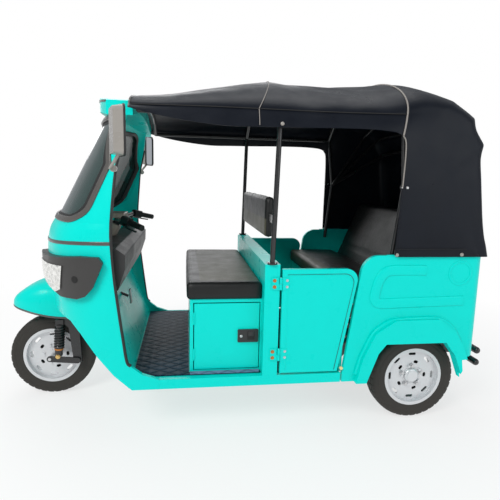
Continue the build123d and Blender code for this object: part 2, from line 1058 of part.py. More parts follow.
def side_panel(side):
    """One rear side of the tub, with its rear corner and wheel arch flare."""
    corner_x = tub_rear_x + tub_corner
    corner_y = body_half_width - tub_corner
    inner_y = body_half_width - tub_wall
    inner_x = tub_rear_x + tub_wall
    with BuildPart() as panel:
        with BuildSketch(Plane.XY.offset(sill_low_z)):
            with BuildLine():
                Line((floor_rear_x, body_half_width), (corner_x, body_half_width))
                CenterArc((corner_x, corner_y), tub_corner, 90, 90)
                Line((tub_rear_x, corner_y), (inner_x, corner_y))
                CenterArc((corner_x, corner_y), tub_corner - tub_wall, 90, 90)
                Line((corner_x, inner_y), (floor_rear_x, inner_y))
                Line((floor_rear_x, inner_y), (floor_rear_x, body_half_width))
            make_face()
        extrude(amount=tub_top_z - sill_low_z)
        with BuildSketch(Plane.XZ.offset(-body_half_width + 1)):
            with BuildLine():
                Polyline(*flare_edge, close=True)
            make_face()
        extrude(amount=-flare_out - 1)
        with BuildSketch(Plane.XZ):
            with BuildLine():
                Polyline(*arch_cut, close=True)
            make_face()
            with BuildLine():
                Polyline(
                    (floor_rear_x + 10, sill_low_z - 10),
                    (panel_front_low_x - running_gap, sill_low_z - 10),
                    (panel_front_low_x - running_gap, sill_low_z + 40),
                    (panel_front_top_x - running_gap, tub_top_z + 10),
                    (floor_rear_x + 10, tub_top_z + 10),
                    close=True,
                )
            make_face()
            with BuildLine():
                Polyline(
                    (arch_rear_x - 20, sill_low_z - 20),
                    (arch_rear_x, tub_low_z),
                    (tub_rear_x - 10, tub_low_z + 8),
                    (tub_rear_x - 10, sill_low_z - 20),
                    close=True,
                )
            make_face()
        extrude(amount=-2 * body_half_width, mode=Mode.SUBTRACT)
        front_corner = (
            panel.edges()
            .filter_by(Axis.Y)
            .sort_by_distance(
                (panel_front_top_x - running_gap, body_half_width, tub_top_z)
            )[0]
        )
        fillet(front_corner, panel_corner)
    if side < 0:
        return mirrored(panel.part)
    return panel.part


def mirrored(piece):
    """The same piece on the other side of the vehicle."""
    with BuildPart() as other:
        add(piece)
        mirror(about=Plane.XZ, mode=Mode.REPLACE)
    return other.part


store(side_panel(1), "rear_side_panel_left")
store(side_panel(-1), "rear_side_panel_right")

rear_panel = beveled_box(
    (tub_rear_x, -body_half_width + tub_corner + seat_clearance, tub_low_z),
    (
        tub_rear_x + tub_wall,
        body_half_width - tub_corner - seat_clearance,
        tub_top_z,
    ),
    0,
)
store(rear_panel, "rear_end_panel")

# Inner wheel arches close the tub over the rear wheels
arch_front_wall_x = rear_axle_x + wheelhouse_half_length
arch_rear_wall_x = rear_axle_x - wheelhouse_half_length
panel_inner_y = body_half_width - tub_wall - seat_clearance
with BuildPart() as wheel_housings:
    for side in (1, -1):
        low_y, high_y = between(side, wheelhouse_inner_y, panel_inner_y)
        with Locations(
            (rear_axle_x, (low_y + high_y) / 2, wheelhouse_top_z - wheelhouse_wall / 2)
        ):
            Box(2 * wheelhouse_half_length, high_y - low_y, wheelhouse_wall)
        wall_y = side * (wheelhouse_inner_y + wheelhouse_wall / 2)
        with Locations(
            (rear_axle_x, wall_y, (wheelhouse_top_z + rear_rail_high_z) / 2)
        ):
            Box(
                2 * wheelhouse_half_length,
                wheelhouse_wall,
                wheelhouse_top_z - rear_rail_high_z,
            )
        for wall_x in (
            arch_front_wall_x - wheelhouse_wall / 2,
            arch_rear_wall_x + wheelhouse_wall / 2,
        ):
            with Locations(
                (wall_x, (low_y + high_y) / 2, (wheelhouse_top_z + rear_rail_high_z) / 2)
            ):
                Box(
                    wheelhouse_wall,
                    high_y - low_y,
                    wheelhouse_top_z - rear_rail_high_z,
                )
store(wheel_housings.part, "wheel_housings")

# Passenger bench: front board and seat board, cushion and leaning backrest
with BuildPart() as bench_base:
    with BuildSketch(Plane.XZ.offset(-panel_inner_y)):
        with BuildLine():
            Polyline(
                (bench_front_x, floor_top_z),
                (bench_front_x, bench_top_z),
                (tub_rear_x + tub_corner, bench_top_z),
                (tub_rear_x + tub_corner, bench_top_z - bench_wall),
                (bench_front_x - bench_wall, bench_top_z - bench_wall),
                (bench_front_x - bench_wall, floor_top_z),
                close=True,
            )
        make_face()
    extrude(amount=2 * panel_inner_y)
store(bench_base.part, "passenger_bench")

bench_half_width = panel_inner_y - 10
passenger_cushion = beveled_box(
    (bench_back_foot_x + 4, -bench_half_width, bench_top_z + seat_clearance),
    (bench_front_x + 12, bench_half_width, bench_top_z + bench_cushion_height),
    18,
)
store(passenger_cushion, "passenger_seat_cushion")
lean = (bench_back_head_x - bench_back_foot_x) / (bench_back_head_z - bench_top_z)
passenger_backrest = side_prism(
    (
        (bench_back_foot_x, bench_top_z + seat_clearance),
        (bench_back_head_x, bench_back_head_z),
        (bench_back_head_x - bench_back_thickness, bench_back_head_z - 16),
        (bench_back_foot_x - bench_back_thickness, bench_top_z + seat_clearance),
    ),
    -bench_half_width + 16,
    bench_half_width - 16,
    14,
)
store(passenger_backrest, "passenger_backrest")

# Hood: height, x of the front, x of the rear, half width, rear corner radius
hood_stations = (
    (hood_hem_z, curtain_front_x, tub_rear_x - 12, body_half_width + 12, 60),
    (1020, curtain_front_x, -1244, body_half_width + 18, 76),
    (1325, curtain_front_x, -1204, body_half_width + 26, 100),
    (hood_bend_z, curtain_front_x, -1202, body_half_width + 32, 130),
)
roof_stations = (
    (hood_bend_z, hood_front_x, -1202, body_half_width + 32, 130),
    (frame_rail_z - 54, hood_front_x, -1186, body_half_width + 38, 140),
    (frame_rail_z + 36, hood_front_x, -1168, body_half_width + 12, 140),
    (frame_rail_z + 120, hood_front_x, -1128, body_half_width - 120, 170),
    (frame_rail_z + 200, 250, -1000, body_half_width - 270, 160),
    (frame_rail_z + 262, -130, -860, hood_crown_half, 40),
)


def hood_form(stations, wall, drop):
    """Solid of the hood's outer shape, drawn in by its wall and open in front."""
    foot = [(stations[0][0] - drop, *stations[0][1:])] if drop else []
    with BuildPart() as form:
        for height, front_x, back_x, half, radius in (*foot, *stations):
            crowned = height > hood_eaves_z
            level = height - (wall if crowned else 0)
            inset = 0 if crowned else wall
            front = front_x + (drop if front_x >= curtain_front_x else 0)
            front = front if front_x == hood_front_x or not crowned else front_x
            back = back_x + inset
            side_y = half - inset
            bend = radius - inset
            with BuildSketch(Plane.XY.offset(level)):
                with BuildLine():
                    Line((front, side_y), (back + bend, side_y))
                    CenterArc((back + bend, side_y - bend), bend, 90, 90)
                    Line((back, side_y - bend), (back, bend - side_y))
                    CenterArc((back + bend, bend - side_y), bend, 180, 90)
                    Line((back + bend, -side_y), (front, -side_y))
                    Line((front, -side_y), (front, side_y))
                make_face()
        loft(ruled=True)
    return form.part


curtain_outer = hood_form(hood_stations, 0, 0)
curtain_inner = hood_form(hood_stations, hood_wall, 1)
roof_outer = hood_form(roof_stations, 0, 0)
roof_inner = hood_form(roof_stations, hood_wall, 1)
with BuildPart() as hood:
    add(roof_outer)
    add(roof_inner, mode=Mode.SUBTRACT)
    with Locations((hood_front_x, 0, hood_bend_z)):
        Box(
            2 * (hood_front_x - curtain_front_x),
            4 * body_half_width,
            2 * (valance_low_z - hood_bend_z),
            mode=Mode.SUBTRACT,
        )
with BuildPart() as canopy:
    add(hood.part)
    with BuildPart() as curtain:
        add(curtain_outer)
        add(curtain_inner, mode=Mode.SUBTRACT)
store(canopy.part, "canopy")

# Roof frame: side rails, crowned cross hoops and three folding bows at the rear
side_rail_low = frame_rail_z - frame_tube_radius
cross_hoops = (
    # x, height at the shoulder, between shoulder and middle, in the middle
    (frame_front_x, frame_rail_z + 66, frame_rail_z + 88, frame_rail_z + 100),
    (post_head_x, frame_rail_z + 106, frame_rail_z + 172, frame_rail_z + 234),
    (hoop_rear_x, frame_rail_z + 106, frame_rail_z + 172, frame_rail_z + 234),
)
rear_bows = (
    # x and height of the shoulder, x and height of the bar across
    (-1155, frame_rail_z - 97, -1172, frame_rail_z - 85),
    (-1108, frame_rail_z + 16, -1138, frame_rail_z + 30),
    (-1000, frame_rail_z + 26, -1034, frame_rail_z + 108),
)
frame_bars = []
for side in (1, -1):
    frame_bars.append(
        beam(
            [
                (frame_front_x, side * frame_rail_y, frame_rail_z),
                (hoop_rear_x, side * frame_rail_y, frame_rail_z),
            ],
            frame_tube_radius,
            0,
        )
    )
    frame_bars.append(
        beam(
            [
                (hoop_rear_x, side * frame_rail_y, frame_rail_z),
                (hoop_pivot_x, side * hoop_pivot_y, hoop_pivot_z),
                (hoop_foot_x, side * hoop_foot_y, hoop_foot_z),
            ],
            frame_tube_radius,
            0,
        )
    )
for x, shoulder_z, middle_z, top_z in cross_hoops:
    frame_bars.append(
        beam(
            [
                (x, frame_rail_y, frame_rail_z),
                (x, hoop_shoulder_y, shoulder_z),
                (x, hoop_middle_y, middle_z),
                (x, 0, top_z),
                (x, -hoop_middle_y, middle_z),
                (x, -hoop_shoulder_y, shoulder_z),
                (x, -frame_rail_y, frame_rail_z),
            ],
            frame_tube_radius,
            0,
        )
    )
bow_pivot_y = hoop_pivot_y - 2 * frame_tube_radius - bow_gap
folding_bars = []
for shoulder_x, shoulder_z, tip_x, tip_z in rear_bows:
    folding_bars.append(
        beam(
            [
                (hoop_pivot_x, bow_pivot_y, hoop_pivot_z),
                (shoulder_x, bow_shoulder_y, shoulder_z),
                (tip_x, bow_top_y, tip_z),
                (tip_x, -bow_top_y, tip_z),
                (shoulder_x, -bow_shoulder_y, shoulder_z),
                (hoop_pivot_x, -bow_pivot_y, hoop_pivot_z),
            ],
            frame_tube_radius,
            0,
        )
    )
with BuildPart() as roof_frame:
    for bar in frame_bars:
        add(bar)
store(roof_frame.part, "roof_frame")
with BuildPart() as hood_bows:
    for bar in folding_bars:
        add(bar)
    for side in (1, -1):
        low_y, high_y = between(
            side, bow_pivot_y, hoop_pivot_y - frame_tube_radius - seat_clearance
        )
        with Locations((hoop_pivot_x, (low_y + high_y) / 2, hoop_pivot_z)):
            Cylinder(bow_pin_radius, high_y - low_y, rotation=(90, 0, 0))
store(hood_bows.part, "hood_bows")

# Door mirrors on stalks from the windscreen pillars
mirror_turn = radians(mirror_yaw_deg)


def mirror_plane(x, y, z):
    """Plane facing the driver's side of the left mirror."""
    return Plane(
        origin=(x, y, z),
        x_dir=(-sin(mirror_turn), cos(mirror_turn), 0),
        z_dir=(cos(mirror_turn), sin(mirror_turn), 0),
    )


with BuildPart() as mirror_shell:
    with BuildSketch(mirror_plane(mirror_x, mirror_y, mirror_z)):
        RectangleRounded(mirror_width, mirror_height, mirror_corner)
    extrude(amount=mirror_depth, taper=12)
    with BuildSketch(mirror_plane(mirror_x, mirror_y, mirror_z)):
        RectangleRounded(
            mirror_width - 2 * mirror_rim,
            mirror_height - 2 * mirror_rim,
            mirror_corner - mirror_rim,
        )
    extrude(amount=mirror_rim, mode=Mode.SUBTRACT)
mirror_edge = mirror_arm_radius * sqrt(0.5)
mirror_nose_x = screen_foot_x - screen_lean * (
    mirror_arm_z - mirror_edge - screen_foot_z
)
mirror_reach = mirror_arm_foot_x - mirror_edge - (mirror_nose_x - corner_depth)
mirror_foot_y = (
    corner_center_y + sqrt(corner_arc_radius**2 - mirror_reach**2) + seat_clearance
)
mirror_arm = beam(
    [
        (mirror_arm_foot_x, mirror_foot_y, mirror_arm_z),
        (mirror_arm_foot_x, body_half_width + 70, mirror_arm_z),
        (mirror_x + 14, mirror_y - 10, mirror_z - mirror_height / 2 + 12),
    ],
    mirror_arm_radius,
    30,
)
with BuildPart() as mirror_left:
    add(mirror_shell.part)
    add(mirror_arm)
with BuildPart() as mirror_housings:
    add(mirror_left.part)
    mirror(about=Plane.XZ)
store(mirror_housings.part, "mirror_housings")
with BuildPart() as mirror_pane:
    with BuildSketch(mirror_plane(mirror_x, mirror_y, mirror_z)):
        RectangleRounded(
            mirror_width - 2 * mirror_rim - 2 * seat_clearance,
            mirror_height - 2 * mirror_rim - 2 * seat_clearance,
            mirror_corner - mirror_rim,
        )
    extrude(amount=mirror_rim - seat_clearance)
with BuildPart() as mirror_glasses:
    add(mirror_pane.part)
    mirror(about=Plane.XZ)
store(mirror_glasses.part, "mirror_glasses")

# Tail lamps and the tubular bumper behind the tub
with BuildPart() as tail_lamps:
    for side in (1, -1):
        with Locations(
            (
                tub_rear_x - seat_clearance - tail_lamp_depth / 2,
                side * tail_lamp_y,
                tail_lamp_z,
            )
        ):
            Box(tail_lamp_depth, tail_lamp_width, tail_lamp_height)
    fillet(tail_lamps.edges().filter_by(Axis.X), 8)
store(tail_lamps.part, "tail_lamps")

bumper_x = rear_tip_x + bumper_tube_radius
with BuildPart() as rear_bumper:
    for height in (bumper_low_z, bumper_high_z):
        with Locations(Location((bumper_x, 0, height), (90, 0, 0))):
            Cylinder(bumper_tube_radius, 2 * bumper_half_width)
    for side in (1, -1):
        for height in (bumper_low_z, bumper_high_z):
            with Locations((bumper_x, side * bumper_half_width, height)):
                Sphere(bumper_tube_radius)
        with Locations(
            (
                (bumper_x + rear_rail_rear_x) / 2 - seat_clearance / 2,
                side * rail_y,
                (bumper_low_z + bumper_high_z) / 2,
            )
        ):
            Box(
                abs(bumper_x - rear_rail_rear_x) - seat_clearance,
                bumper_bracket,
                bumper_high_z - bumper_low_z,
            )
store(rear_bumper.part, "rear_bumper")

# Live rear axle with its drive motor, on two leaf springs under the rails
with BuildPart() as rear_axle:
    with Locations(Location((rear_axle_x, 0, tyre_radius), (90, 0, 0))):
        Cylinder(axle_tube_radius, 2 * axle_tube_half)
        Cylinder(axle_shaft_radius, 2 * (rear_track_half + disc_offset + hub_stub))
        Cylinder(motor_radius, motor_length)
    with Locations((rear_axle_x + motor_radius, 0, tyre_radius)):
        Box(2 * motor_radius, motor_length * 0.6, 1.4 * motor_radius)
store(rear_axle.part, "rear_axle")

spring_eye_z = rear_rail_low_z - 18
spring_seat_z = tyre_radius + axle_tube_radius + seat_clearance
with BuildPart() as leaf_springs:
    for side in (1, -1):
        low_y, high_y = between(side, rail_y - leaf_width / 2, rail_y + leaf_width / 2)
        for number in range(leaf_count):
            reach = leaf_half_span * (leaf_count - number) / leaf_count
            rise = (spring_eye_z - spring_seat_z - leaf_count * leaf_thickness) * (
                (reach / leaf_half_span) ** 2
            )
            base_z = spring_seat_z + (leaf_count - 1 - number) * leaf_thickness
            with BuildSketch(Plane.XZ.offset(-high_y)):
                with BuildLine():
                    ThreePointArc(
                        (rear_axle_x - reach, base_z + rise),
                        (rear_axle_x, base_z),
                        (rear_axle_x + reach, base_z + rise),
                    )
                    Line(
                        (rear_axle_x + reach, base_z + rise),
                        (rear_axle_x + reach, base_z + rise + leaf_thickness + 0.1),
                    )
                    ThreePointArc(
                        (rear_axle_x + reach, base_z + rise + leaf_thickness + 0.1),
                        (rear_axle_x, base_z + leaf_thickness + 0.1),
                        (rear_axle_x - reach, base_z + rise + leaf_thickness + 0.1),
                    )
                    Line(
                        (rear_axle_x - reach, base_z + rise + leaf_thickness + 0.1),
                        (rear_axle_x - reach, base_z + rise),
                    )
                make_face()
            extrude(amount=leaf_width)
        for end in (1, -1):
            with Locations(
                (
                    rear_axle_x + end * (leaf_half_span - 12),
                    side * rail_y,
                    (spring_eye_z + rear_rail_low_z) / 2 - seat_clearance / 2 - 6,
                )
            ):
                Box(
                    24,
                    leaf_width,
                    rear_rail_low_z - spring_eye_z - seat_clearance + 12,
                )
store(leaf_springs.part, "leaf_springs")

# Steering: stem, crown and fork legs behind the front wheel
stem_foot = Vector(steer_x, 0, steer_z)
crown_front_x = steer_x + crown_length - 24
crown_rear_x = steer_x - 24
crown_top_z = steer_z + 6
crown_low_z = crown_top_z - crown_thickness
with BuildPart() as front_fork:
    with Locations(
        ((crown_front_x + crown_rear_x) / 2, 0, (crown_top_z + crown_low_z) / 2)
    ):
        Box(crown_length, 2 * crown_half_width, crown_thickness)
    with BuildSketch(Plane(origin=stem_foot, x_dir=(0, 1, 0), z_dir=steer_dir)):
        Circle(stem_radius)
    extrude(amount=stem_length)
    for side in (1, -1):
        leg_low, leg_high = between(
            side, fork_leg_y - fork_leg_width / 2, fork_leg_y + fork_leg_width / 2
        )
        with BuildSketch(Plane.XZ.offset(-leg_high)):
            with BuildLine():
                Polyline(
                    (crown_rear_x, crown_top_z - 4),
                    (crown_front_x, crown_top_z - 4),
                    (crown_front_x + 18, crown_low_z),
                    (damper_top_x + damper_radius, damper_top_z + 8),
                    (damper_top_x - damper_radius, damper_top_z + 8),
                    (link_pivot_x + fork_leg_depth, crown_low_z - 70),
                    (link_pivot_x + fork_leg_depth / 2, link_pivot_z - 16),
                    (link_pivot_x - fork_leg_depth / 2, link_pivot_z - 16),
                    (crown_rear_x, crown_low_z - 40),
                    close=True,
                )
            make_face()
        extrude(amount=fork_leg_width)
        with Locations(
            (
                damper_top_x,
                side * damper_y,
                damper_top_z + 8 + crown_thickness / 2,
            )
        ):
            Box(2 * damper_radius, damper_radius, crown_thickness)
store(front_fork.part, "front_fork")

link_inner_y = fork_leg_y + fork_leg_width / 2 + seat_clearance
with BuildPart() as front_links:
    for side in (1, -1):
        low_y, high_y = between(side, link_inner_y, link_inner_y + link_thickness)
        with BuildSketch(
            Plane(
                origin=(
                    (link_pivot_x + front_axle_x) / 2,
                    high_y,
                    (link_pivot_z + tyre_radius) / 2,
                ),
                x_dir=(
                    front_axle_x - link_pivot_x,
                    0,
                    tyre_radius - link_pivot_z,
                ),
                z_dir=(0, -1, 0),
            )
        ):
            SlotCenterToCenter(
                sqrt(
                    (front_axle_x - link_pivot_x) ** 2
                    + (tyre_radius - link_pivot_z) ** 2
                ),
                link_height,
            )
        extrude(amount=link_thickness)
    with Locations(Location((front_axle_x, 0, tyre_radius), (90, 0, 0))):
        Cylinder(
            axle_radius + seat_clearance,
            4 * body_half_width,
            mode=Mode.SUBTRACT,
        )
store(front_links.part, "front_links")

with BuildPart() as front_axle:
    with Locations(Location((front_axle_x, 0, tyre_radius), (90, 0, 0))):
        Cylinder(axle_radius, 2 * (link_inner_y + link_thickness + 4))
store(front_axle.part, "front_axle")

with BuildPart() as front_dampers:
    for side in (1, -1):
        foot = Vector(damper_foot_x, side * damper_y, damper_foot_z)
        head = Vector(damper_top_x, side * damper_y, damper_top_z)
        with BuildSketch(
            Plane(origin=foot, x_dir=(0, 1, 0), z_dir=(head - foot).normalized())
        ):
            Circle(damper_radius)
        extrude(amount=(head - foot).length + damper_radius)
        with Locations((damper_foot_x, side * damper_y, damper_foot_z - 4)):
            Box(link_thickness, damper_radius, 22)
    with Locations((damper_top_x, 0, damper_top_z + 8 - seat_clearance)):
        Box(
            200,
            4 * crown_half_width,
            100,
            align=(Align.CENTER, Align.CENTER, Align.MIN),
            mode=Mode.SUBTRACT,
        )
    add(front_links.part, mode=Mode.SUBTRACT)
store(front_dampers.part, "front_dampers")

# Handlebar clamped on the stem, with its grips and the instrument cover
stem_head = stem_foot + steer_dir * stem_length
bar_half = [
    (bar_end_x, bar_end_y, bar_end_z),
    (bar_bend_x, bar_bend_y, bar_bend_z),
    (bar_clamp_x, bar_clamp_y, bar_height),
]
bar_points = bar_half + [(x, -y, z) for x, y, z in reversed(bar_half)]
handlebar_tube = beam(bar_points, bar_radius, bar_bend_radius)
clamp_low = stem_head + steer_dir * seat_clearance
with BuildPart() as handlebar:
    add(handlebar_tube)
    with BuildSketch(Plane(origin=clamp_low, x_dir=(0, 1, 0), z_dir=steer_dir)):
        Rectangle(clamp_width, clamp_depth)
    extrude(amount=clamp_height)
store(handlebar.part, "handlebar")

grip_way = (Vector(*bar_half[1]) - Vector(*bar_half[0])).normalized()
with BuildPart() as left_grip:
    with BuildSketch(
        Plane(origin=Vector(*bar_half[0]) - grip_way * 5, z_dir=grip_way)
    ):
        Circle(grip_radius)
    extrude(amount=grip_length)
    with BuildSketch(Plane(origin=bar_half[0], z_dir=grip_way)):
        Circle(bar_radius + seat_clearance)
    extrude(amount=-seat_clearance, mode=Mode.SUBTRACT)
    with BuildSketch(Plane(origin=bar_half[0], z_dir=grip_way)):
        Circle(bar_radius + seat_clearance)
    extrude(amount=grip_length, mode=Mode.SUBTRACT)
with BuildPart() as hand_grips:
    add(left_grip.part)
    mirror(about=Plane.XZ)
store(hand_grips.part, "hand_grips")

instrument_low_z = bar_height + bar_radius
instrument_cover = beveled_box(
    (bar_clamp_x - 50, -instrument_half_width, instrument_low_z + instrument_rise),
    (
        bar_clamp_x + 46,
        instrument_half_width,
        instrument_low_z + instrument_rise + instrument_height,
    ),
    8,
)
store(instrument_cover, "instrument_cover")

# Wheels: tyre and pressed steel rim about the Y axis, outer side towards +Y
with BuildPart() as tyre:
    with BuildSketch():
        with BuildLine():
            Polyline(
                (tyre_radius - 2.5, tyre_half_width - 16),
                (tyre_radius - 13, tyre_half_width - 5),
                (tyre_radius - 36, tyre_half_width),
                (rim_flange_radius + 12, tyre_half_width - 2),
                (rim_flange_radius + 4, rim_half_width - 0.4),
                (bead_radius, rim_half_width - 0.4),
                (bead_radius, -rim_half_width + 0.4),
                (rim_flange_radius + 4, -rim_half_width + 0.4),
                (rim_flange_radius + 12, -tyre_half_width + 2),
                (tyre_radius - 36, -tyre_half_width),
                (tyre_radius - 13, -tyre_half_width + 5),
                (tyre_radius - 2.5, -tyre_half_width + 16),
            )
            ThreePointArc(
                (tyre_radius - 2.5, -tyre_half_width + 16),
                (tyre_radius, 0),
                (tyre_radius - 2.5, tyre_half_width - 16),
            )
        make_face()
    revolve(axis=Axis.Y)


def rim_form(bore_radius, hub_inner_y, hub_outer_y, bore_end_y):
    """Pressed rim with vents, wheel bolts and a hub that turns on its axle."""
    barrel_radius = bead_radius - wheel_clearance
    with BuildPart() as form:
        with BuildSketch():
            with BuildLine():
                Polyline(
                    (barrel_radius - rim_wall, -rim_half_width),
                    (barrel_radius - rim_wall, disc_offset),
                    (hub_radius, disc_offset),
                    (hub_radius, hub_inner_y),
                    (0, hub_inner_y),
                    (0, hub_outer_y),
                    (hub_radius, hub_outer_y),
                    (hub_radius, disc_offset + rim_wall),
                    (barrel_radius - rim_wall, disc_offset + rim_wall),
                    (barrel_radius - rim_wall, rim_half_width + 4),
                    (rim_flange_radius, rim_half_width + 4),
                    (rim_flange_radius, rim_half_width),
                    (barrel_radius, rim_half_width),
                    (barrel_radius, -rim_half_width),
                    (rim_flange_radius, -rim_half_width),
                    (rim_flange_radius, -rim_half_width - 4),
                    (barrel_radius - rim_wall, -rim_half_width - 4),
                    close=True,
                )
            make_face()
        revolve(axis=Axis.Y)
        with BuildSketch(Plane.XZ.offset(-disc_offset - 2 * rim_wall)):
            with PolarLocations(slot_circle_radius, slot_count):
                SlotOverall(slot_length, slot_width, rotation=90)
            with PolarLocations(vent_circle_radius, stud_count, vent_start_deg):
                SlotOverall(vent_length, vent_width, rotation=90)
        extrude(amount=3 * rim_wall, mode=Mode.SUBTRACT)
        with BuildSketch(Plane.XZ.offset(-disc_offset - rim_wall)):
            with PolarLocations(stud_circle_radius, stud_count):
                RegularPolygon(stud_radius, 6)
        extrude(amount=-stud_height)
        with BuildSketch(Plane.XZ.offset(-hub_inner_y + 1)):
            Circle(bore_radius)
        extrude(amount=hub_inner_y - 1 - bore_end_y, mode=Mode.SUBTRACT)
    return form.part


def placed(piece, x, y, outward):
    """A wheel piece at its axle, with its outer side to the left or the right."""
    with BuildPart() as there:
        with Locations(Location((x, y, tyre_radius), (0, 0, 0 if outward > 0 else 180))):
            add(piece)
    return there.part


rear_rim = rim_form(
    axle_shaft_radius + wheel_clearance,
    -hub_stub,
    disc_offset + hub_stub + 5,
    disc_offset + hub_stub + wheel_clearance,
)
front_rim = rim_form(
    axle_radius + wheel_clearance, -front_hub_half, front_hub_half, front_hub_half + 1
)
wheels = (
    # name, x of the axle, y of the middle, side that faces out, rim
    ("front", front_axle_x, 0, 1, front_rim),
    ("rear_left", rear_axle_x, rear_track_half, 1, rear_rim),
    ("rear_right", rear_axle_x, -rear_track_half, -1, rear_rim),
)
for name, x, y, outward, rim in wheels:
    store(placed(tyre.part, x, y, outward), name + "_tyre")
    store(placed(rim, x, y, outward), name + "_rim")
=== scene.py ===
import math

import bmesh
import bpy
from mathutils import Matrix, Vector, noise


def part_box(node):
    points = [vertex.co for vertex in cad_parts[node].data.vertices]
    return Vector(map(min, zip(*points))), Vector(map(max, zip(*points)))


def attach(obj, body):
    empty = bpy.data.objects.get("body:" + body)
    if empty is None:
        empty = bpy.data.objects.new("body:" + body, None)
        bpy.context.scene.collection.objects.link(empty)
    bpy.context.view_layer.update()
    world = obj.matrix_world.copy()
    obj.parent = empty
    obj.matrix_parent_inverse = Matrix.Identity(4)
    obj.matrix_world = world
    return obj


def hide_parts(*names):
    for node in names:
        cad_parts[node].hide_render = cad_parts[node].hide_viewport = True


# Dressing of an electric passenger tricycle. Lengths are in millimetres and
# become metres where a mesh is made.

MM = 0.001
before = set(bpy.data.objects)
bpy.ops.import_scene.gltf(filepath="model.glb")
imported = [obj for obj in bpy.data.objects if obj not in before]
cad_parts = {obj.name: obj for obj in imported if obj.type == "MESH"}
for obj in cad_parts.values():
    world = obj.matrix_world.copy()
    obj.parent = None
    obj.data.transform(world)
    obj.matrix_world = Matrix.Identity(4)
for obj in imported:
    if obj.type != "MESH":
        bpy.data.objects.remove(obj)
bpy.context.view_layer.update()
scene = bpy.context.scene

# Driving dimensions
HALF_BODY = 600.0
WHEEL_RADIUS = 240
FRONT_WHEEL_X = 1102
REAR_WHEEL_X = -933
HALF_TRACK = 480
SIDES = ((1, "left"), (-1, "right"))


# Materials
def new_material(name):
    mat = bpy.data.materials.new(name)
    mat.use_nodes = True
    return mat, mat.node_tree, mat.node_tree.nodes["Principled BSDF"]


def put(node, values):
    """Sets the constants of a node's sockets and returns the node."""
    for socket, value in values.items():
        node.inputs[socket].default_value = value
    return node


def add(tree, kind, values=None, **settings):
    """New shader node with its settings and its socket constants."""
    node = tree.nodes.new("ShaderNode" + kind)
    for key, value in settings.items():
        setattr(node, key, value)
    return put(node, values or {})


def join(start, output, end, socket):
    start.id_data.links.new(start.outputs[output], end.inputs[socket])


def relief(shader, node, output, strength, distance):
    """Bump on a shader from a node's output."""
    bump = add(shader.id_data, "Bump", {"Strength": strength, "Distance": distance})
    join(node, output, bump, "Height")
    join(bump, "Normal", shader, "Normal")


def surface(name, color, rough, metal=0.0, coat=0.0, grain=0.0, grain_size=0.002,
            wear=0.08, wear_size=0.08, tone=0.06, spec=0.5, leather=False):
    """Finish whose tone, roughness and fine relief vary over the surface."""
    mat, tree, shader = new_material(name)
    put(shader, {"Metallic": metal, "Coat Weight": coat, "Coat Roughness": 0.05,
                 "IOR": 1.5, "Specular IOR Level": spec})
    place = add(tree, "TexCoord")
    cloud = add(tree, "TexNoise",
                {"Scale": 1 / wear_size, "Detail": 5, "Roughness": 0.6})
    join(place, "Object", cloud, "Vector")
    ramp = add(tree, "MapRange", {"From Min": 0.3, "From Max": 0.7,
                                  "To Min": max(0.02, rough - wear),
                                  "To Max": min(1.0, rough + wear)})
    join(cloud, "Fac", ramp, "Value")
    join(ramp, "Result", shader, "Roughness")
    dark = [c * (1 - tone) for c in color]
    light = [min(1.0, c * (1 + tone)) for c in color]
    # Sockets 6 and 7 are the two colours of a Mix node, output 2 its colour
    shade = add(tree, "Mix", {6: (*dark, 1), 7: (*light, 1)}, data_type="RGBA")
    join(cloud, "Fac", shade, 0)
    join(shade, 2, shader, "Base Color")
    if grain:
        fine = add(tree, "TexVoronoi" if leather else "TexNoise",
                   {"Scale": 1 / grain_size})
        join(place, "Object", fine, "Vector")
        relief(shader, fine, "Distance" if leather else "Fac", grain, 0.001)
    return mat


PAINT = surface("turquoise_enamel", (0.0, 0.72, 0.64), 0.30, coat=0.05, grain=0.04,
                grain_size=0.012, wear=0.05, tone=0.03, spec=0.12)
BLACK = surface("black_enamel", (0.012, 0.012, 0.013), 0.32, coat=0.3, grain=0.12,
                grain_size=0.004, wear=0.1)
PLASTIC = surface("textured_plastic", (0.022, 0.022, 0.023), 0.5, grain=0.35,
                  grain_size=0.0016, tone=0.15)
LAMP_BLACK = surface("lamp_plastic", (0.035, 0.034, 0.033), 0.42, grain=0.25,
                     grain_size=0.0014, wear=0.06, tone=0.12)
RUBBER = surface("black_rubber", (0.014, 0.014, 0.014), 0.5, grain=0.3, wear=0.1,
                 tone=0.2)
# Black rubber given a lighter warm grey for the sunlight on it: painted sunlight.
SUNLIT_TRIM = surface("painted_sunlit_rubber", (0.085, 0.08, 0.075), 0.30, grain=0.1, grain_size=0.003,
               tone=0.15)
TYRE = surface("tyre_rubber", (0.036, 0.033, 0.029), 0.62, spec=0.3, grain=0.45,
               grain_size=0.003, wear=0.12, wear_size=0.03, tone=0.35)
RIM = surface("silver_wheel_paint", (0.66, 0.67, 0.69), 0.36, metal=0.4, coat=0.1,
              grain=0.06, wear=0.04, wear_size=0.05, tone=0.04)
STEEL = surface("zinc_steel", (0.62, 0.62, 0.63), 0.33, metal=1.0, grain=0.2, wear=0.12,
                wear_size=0.02, tone=0.15)
BRASSY = surface("yellow_zinc", (0.72, 0.50, 0.20), 0.32, metal=1.0, grain=0.2,
                 wear=0.1, wear_size=0.01, tone=0.2)
COPPER = surface("copper_paint", (0.55, 0.20, 0.05), 0.4, metal=0.7, grain=0.2,
                 wear=0.1, wear_size=0.01, tone=0.2)
# The cream of the instrument cover stands in for sunlight on it: painted sunlight.
SUNLIT_COVER_PLASTIC = surface("painted_sunlit_cover_plastic", (0.36, 0.31, 0.26), 0.3, coat=0.3, grain=0.08,
                wear=0.05)
SHELL = surface("mirror_shell", (0.30, 0.28, 0.255), 0.28, coat=0.35, grain=0.06,
                wear=0.05)
VINYL = surface("black_seat_vinyl", (0.011, 0.012, 0.012), 0.38, grain=0.45, spec=0.3,
                grain_size=0.0022, leather=True, tone=0.2)
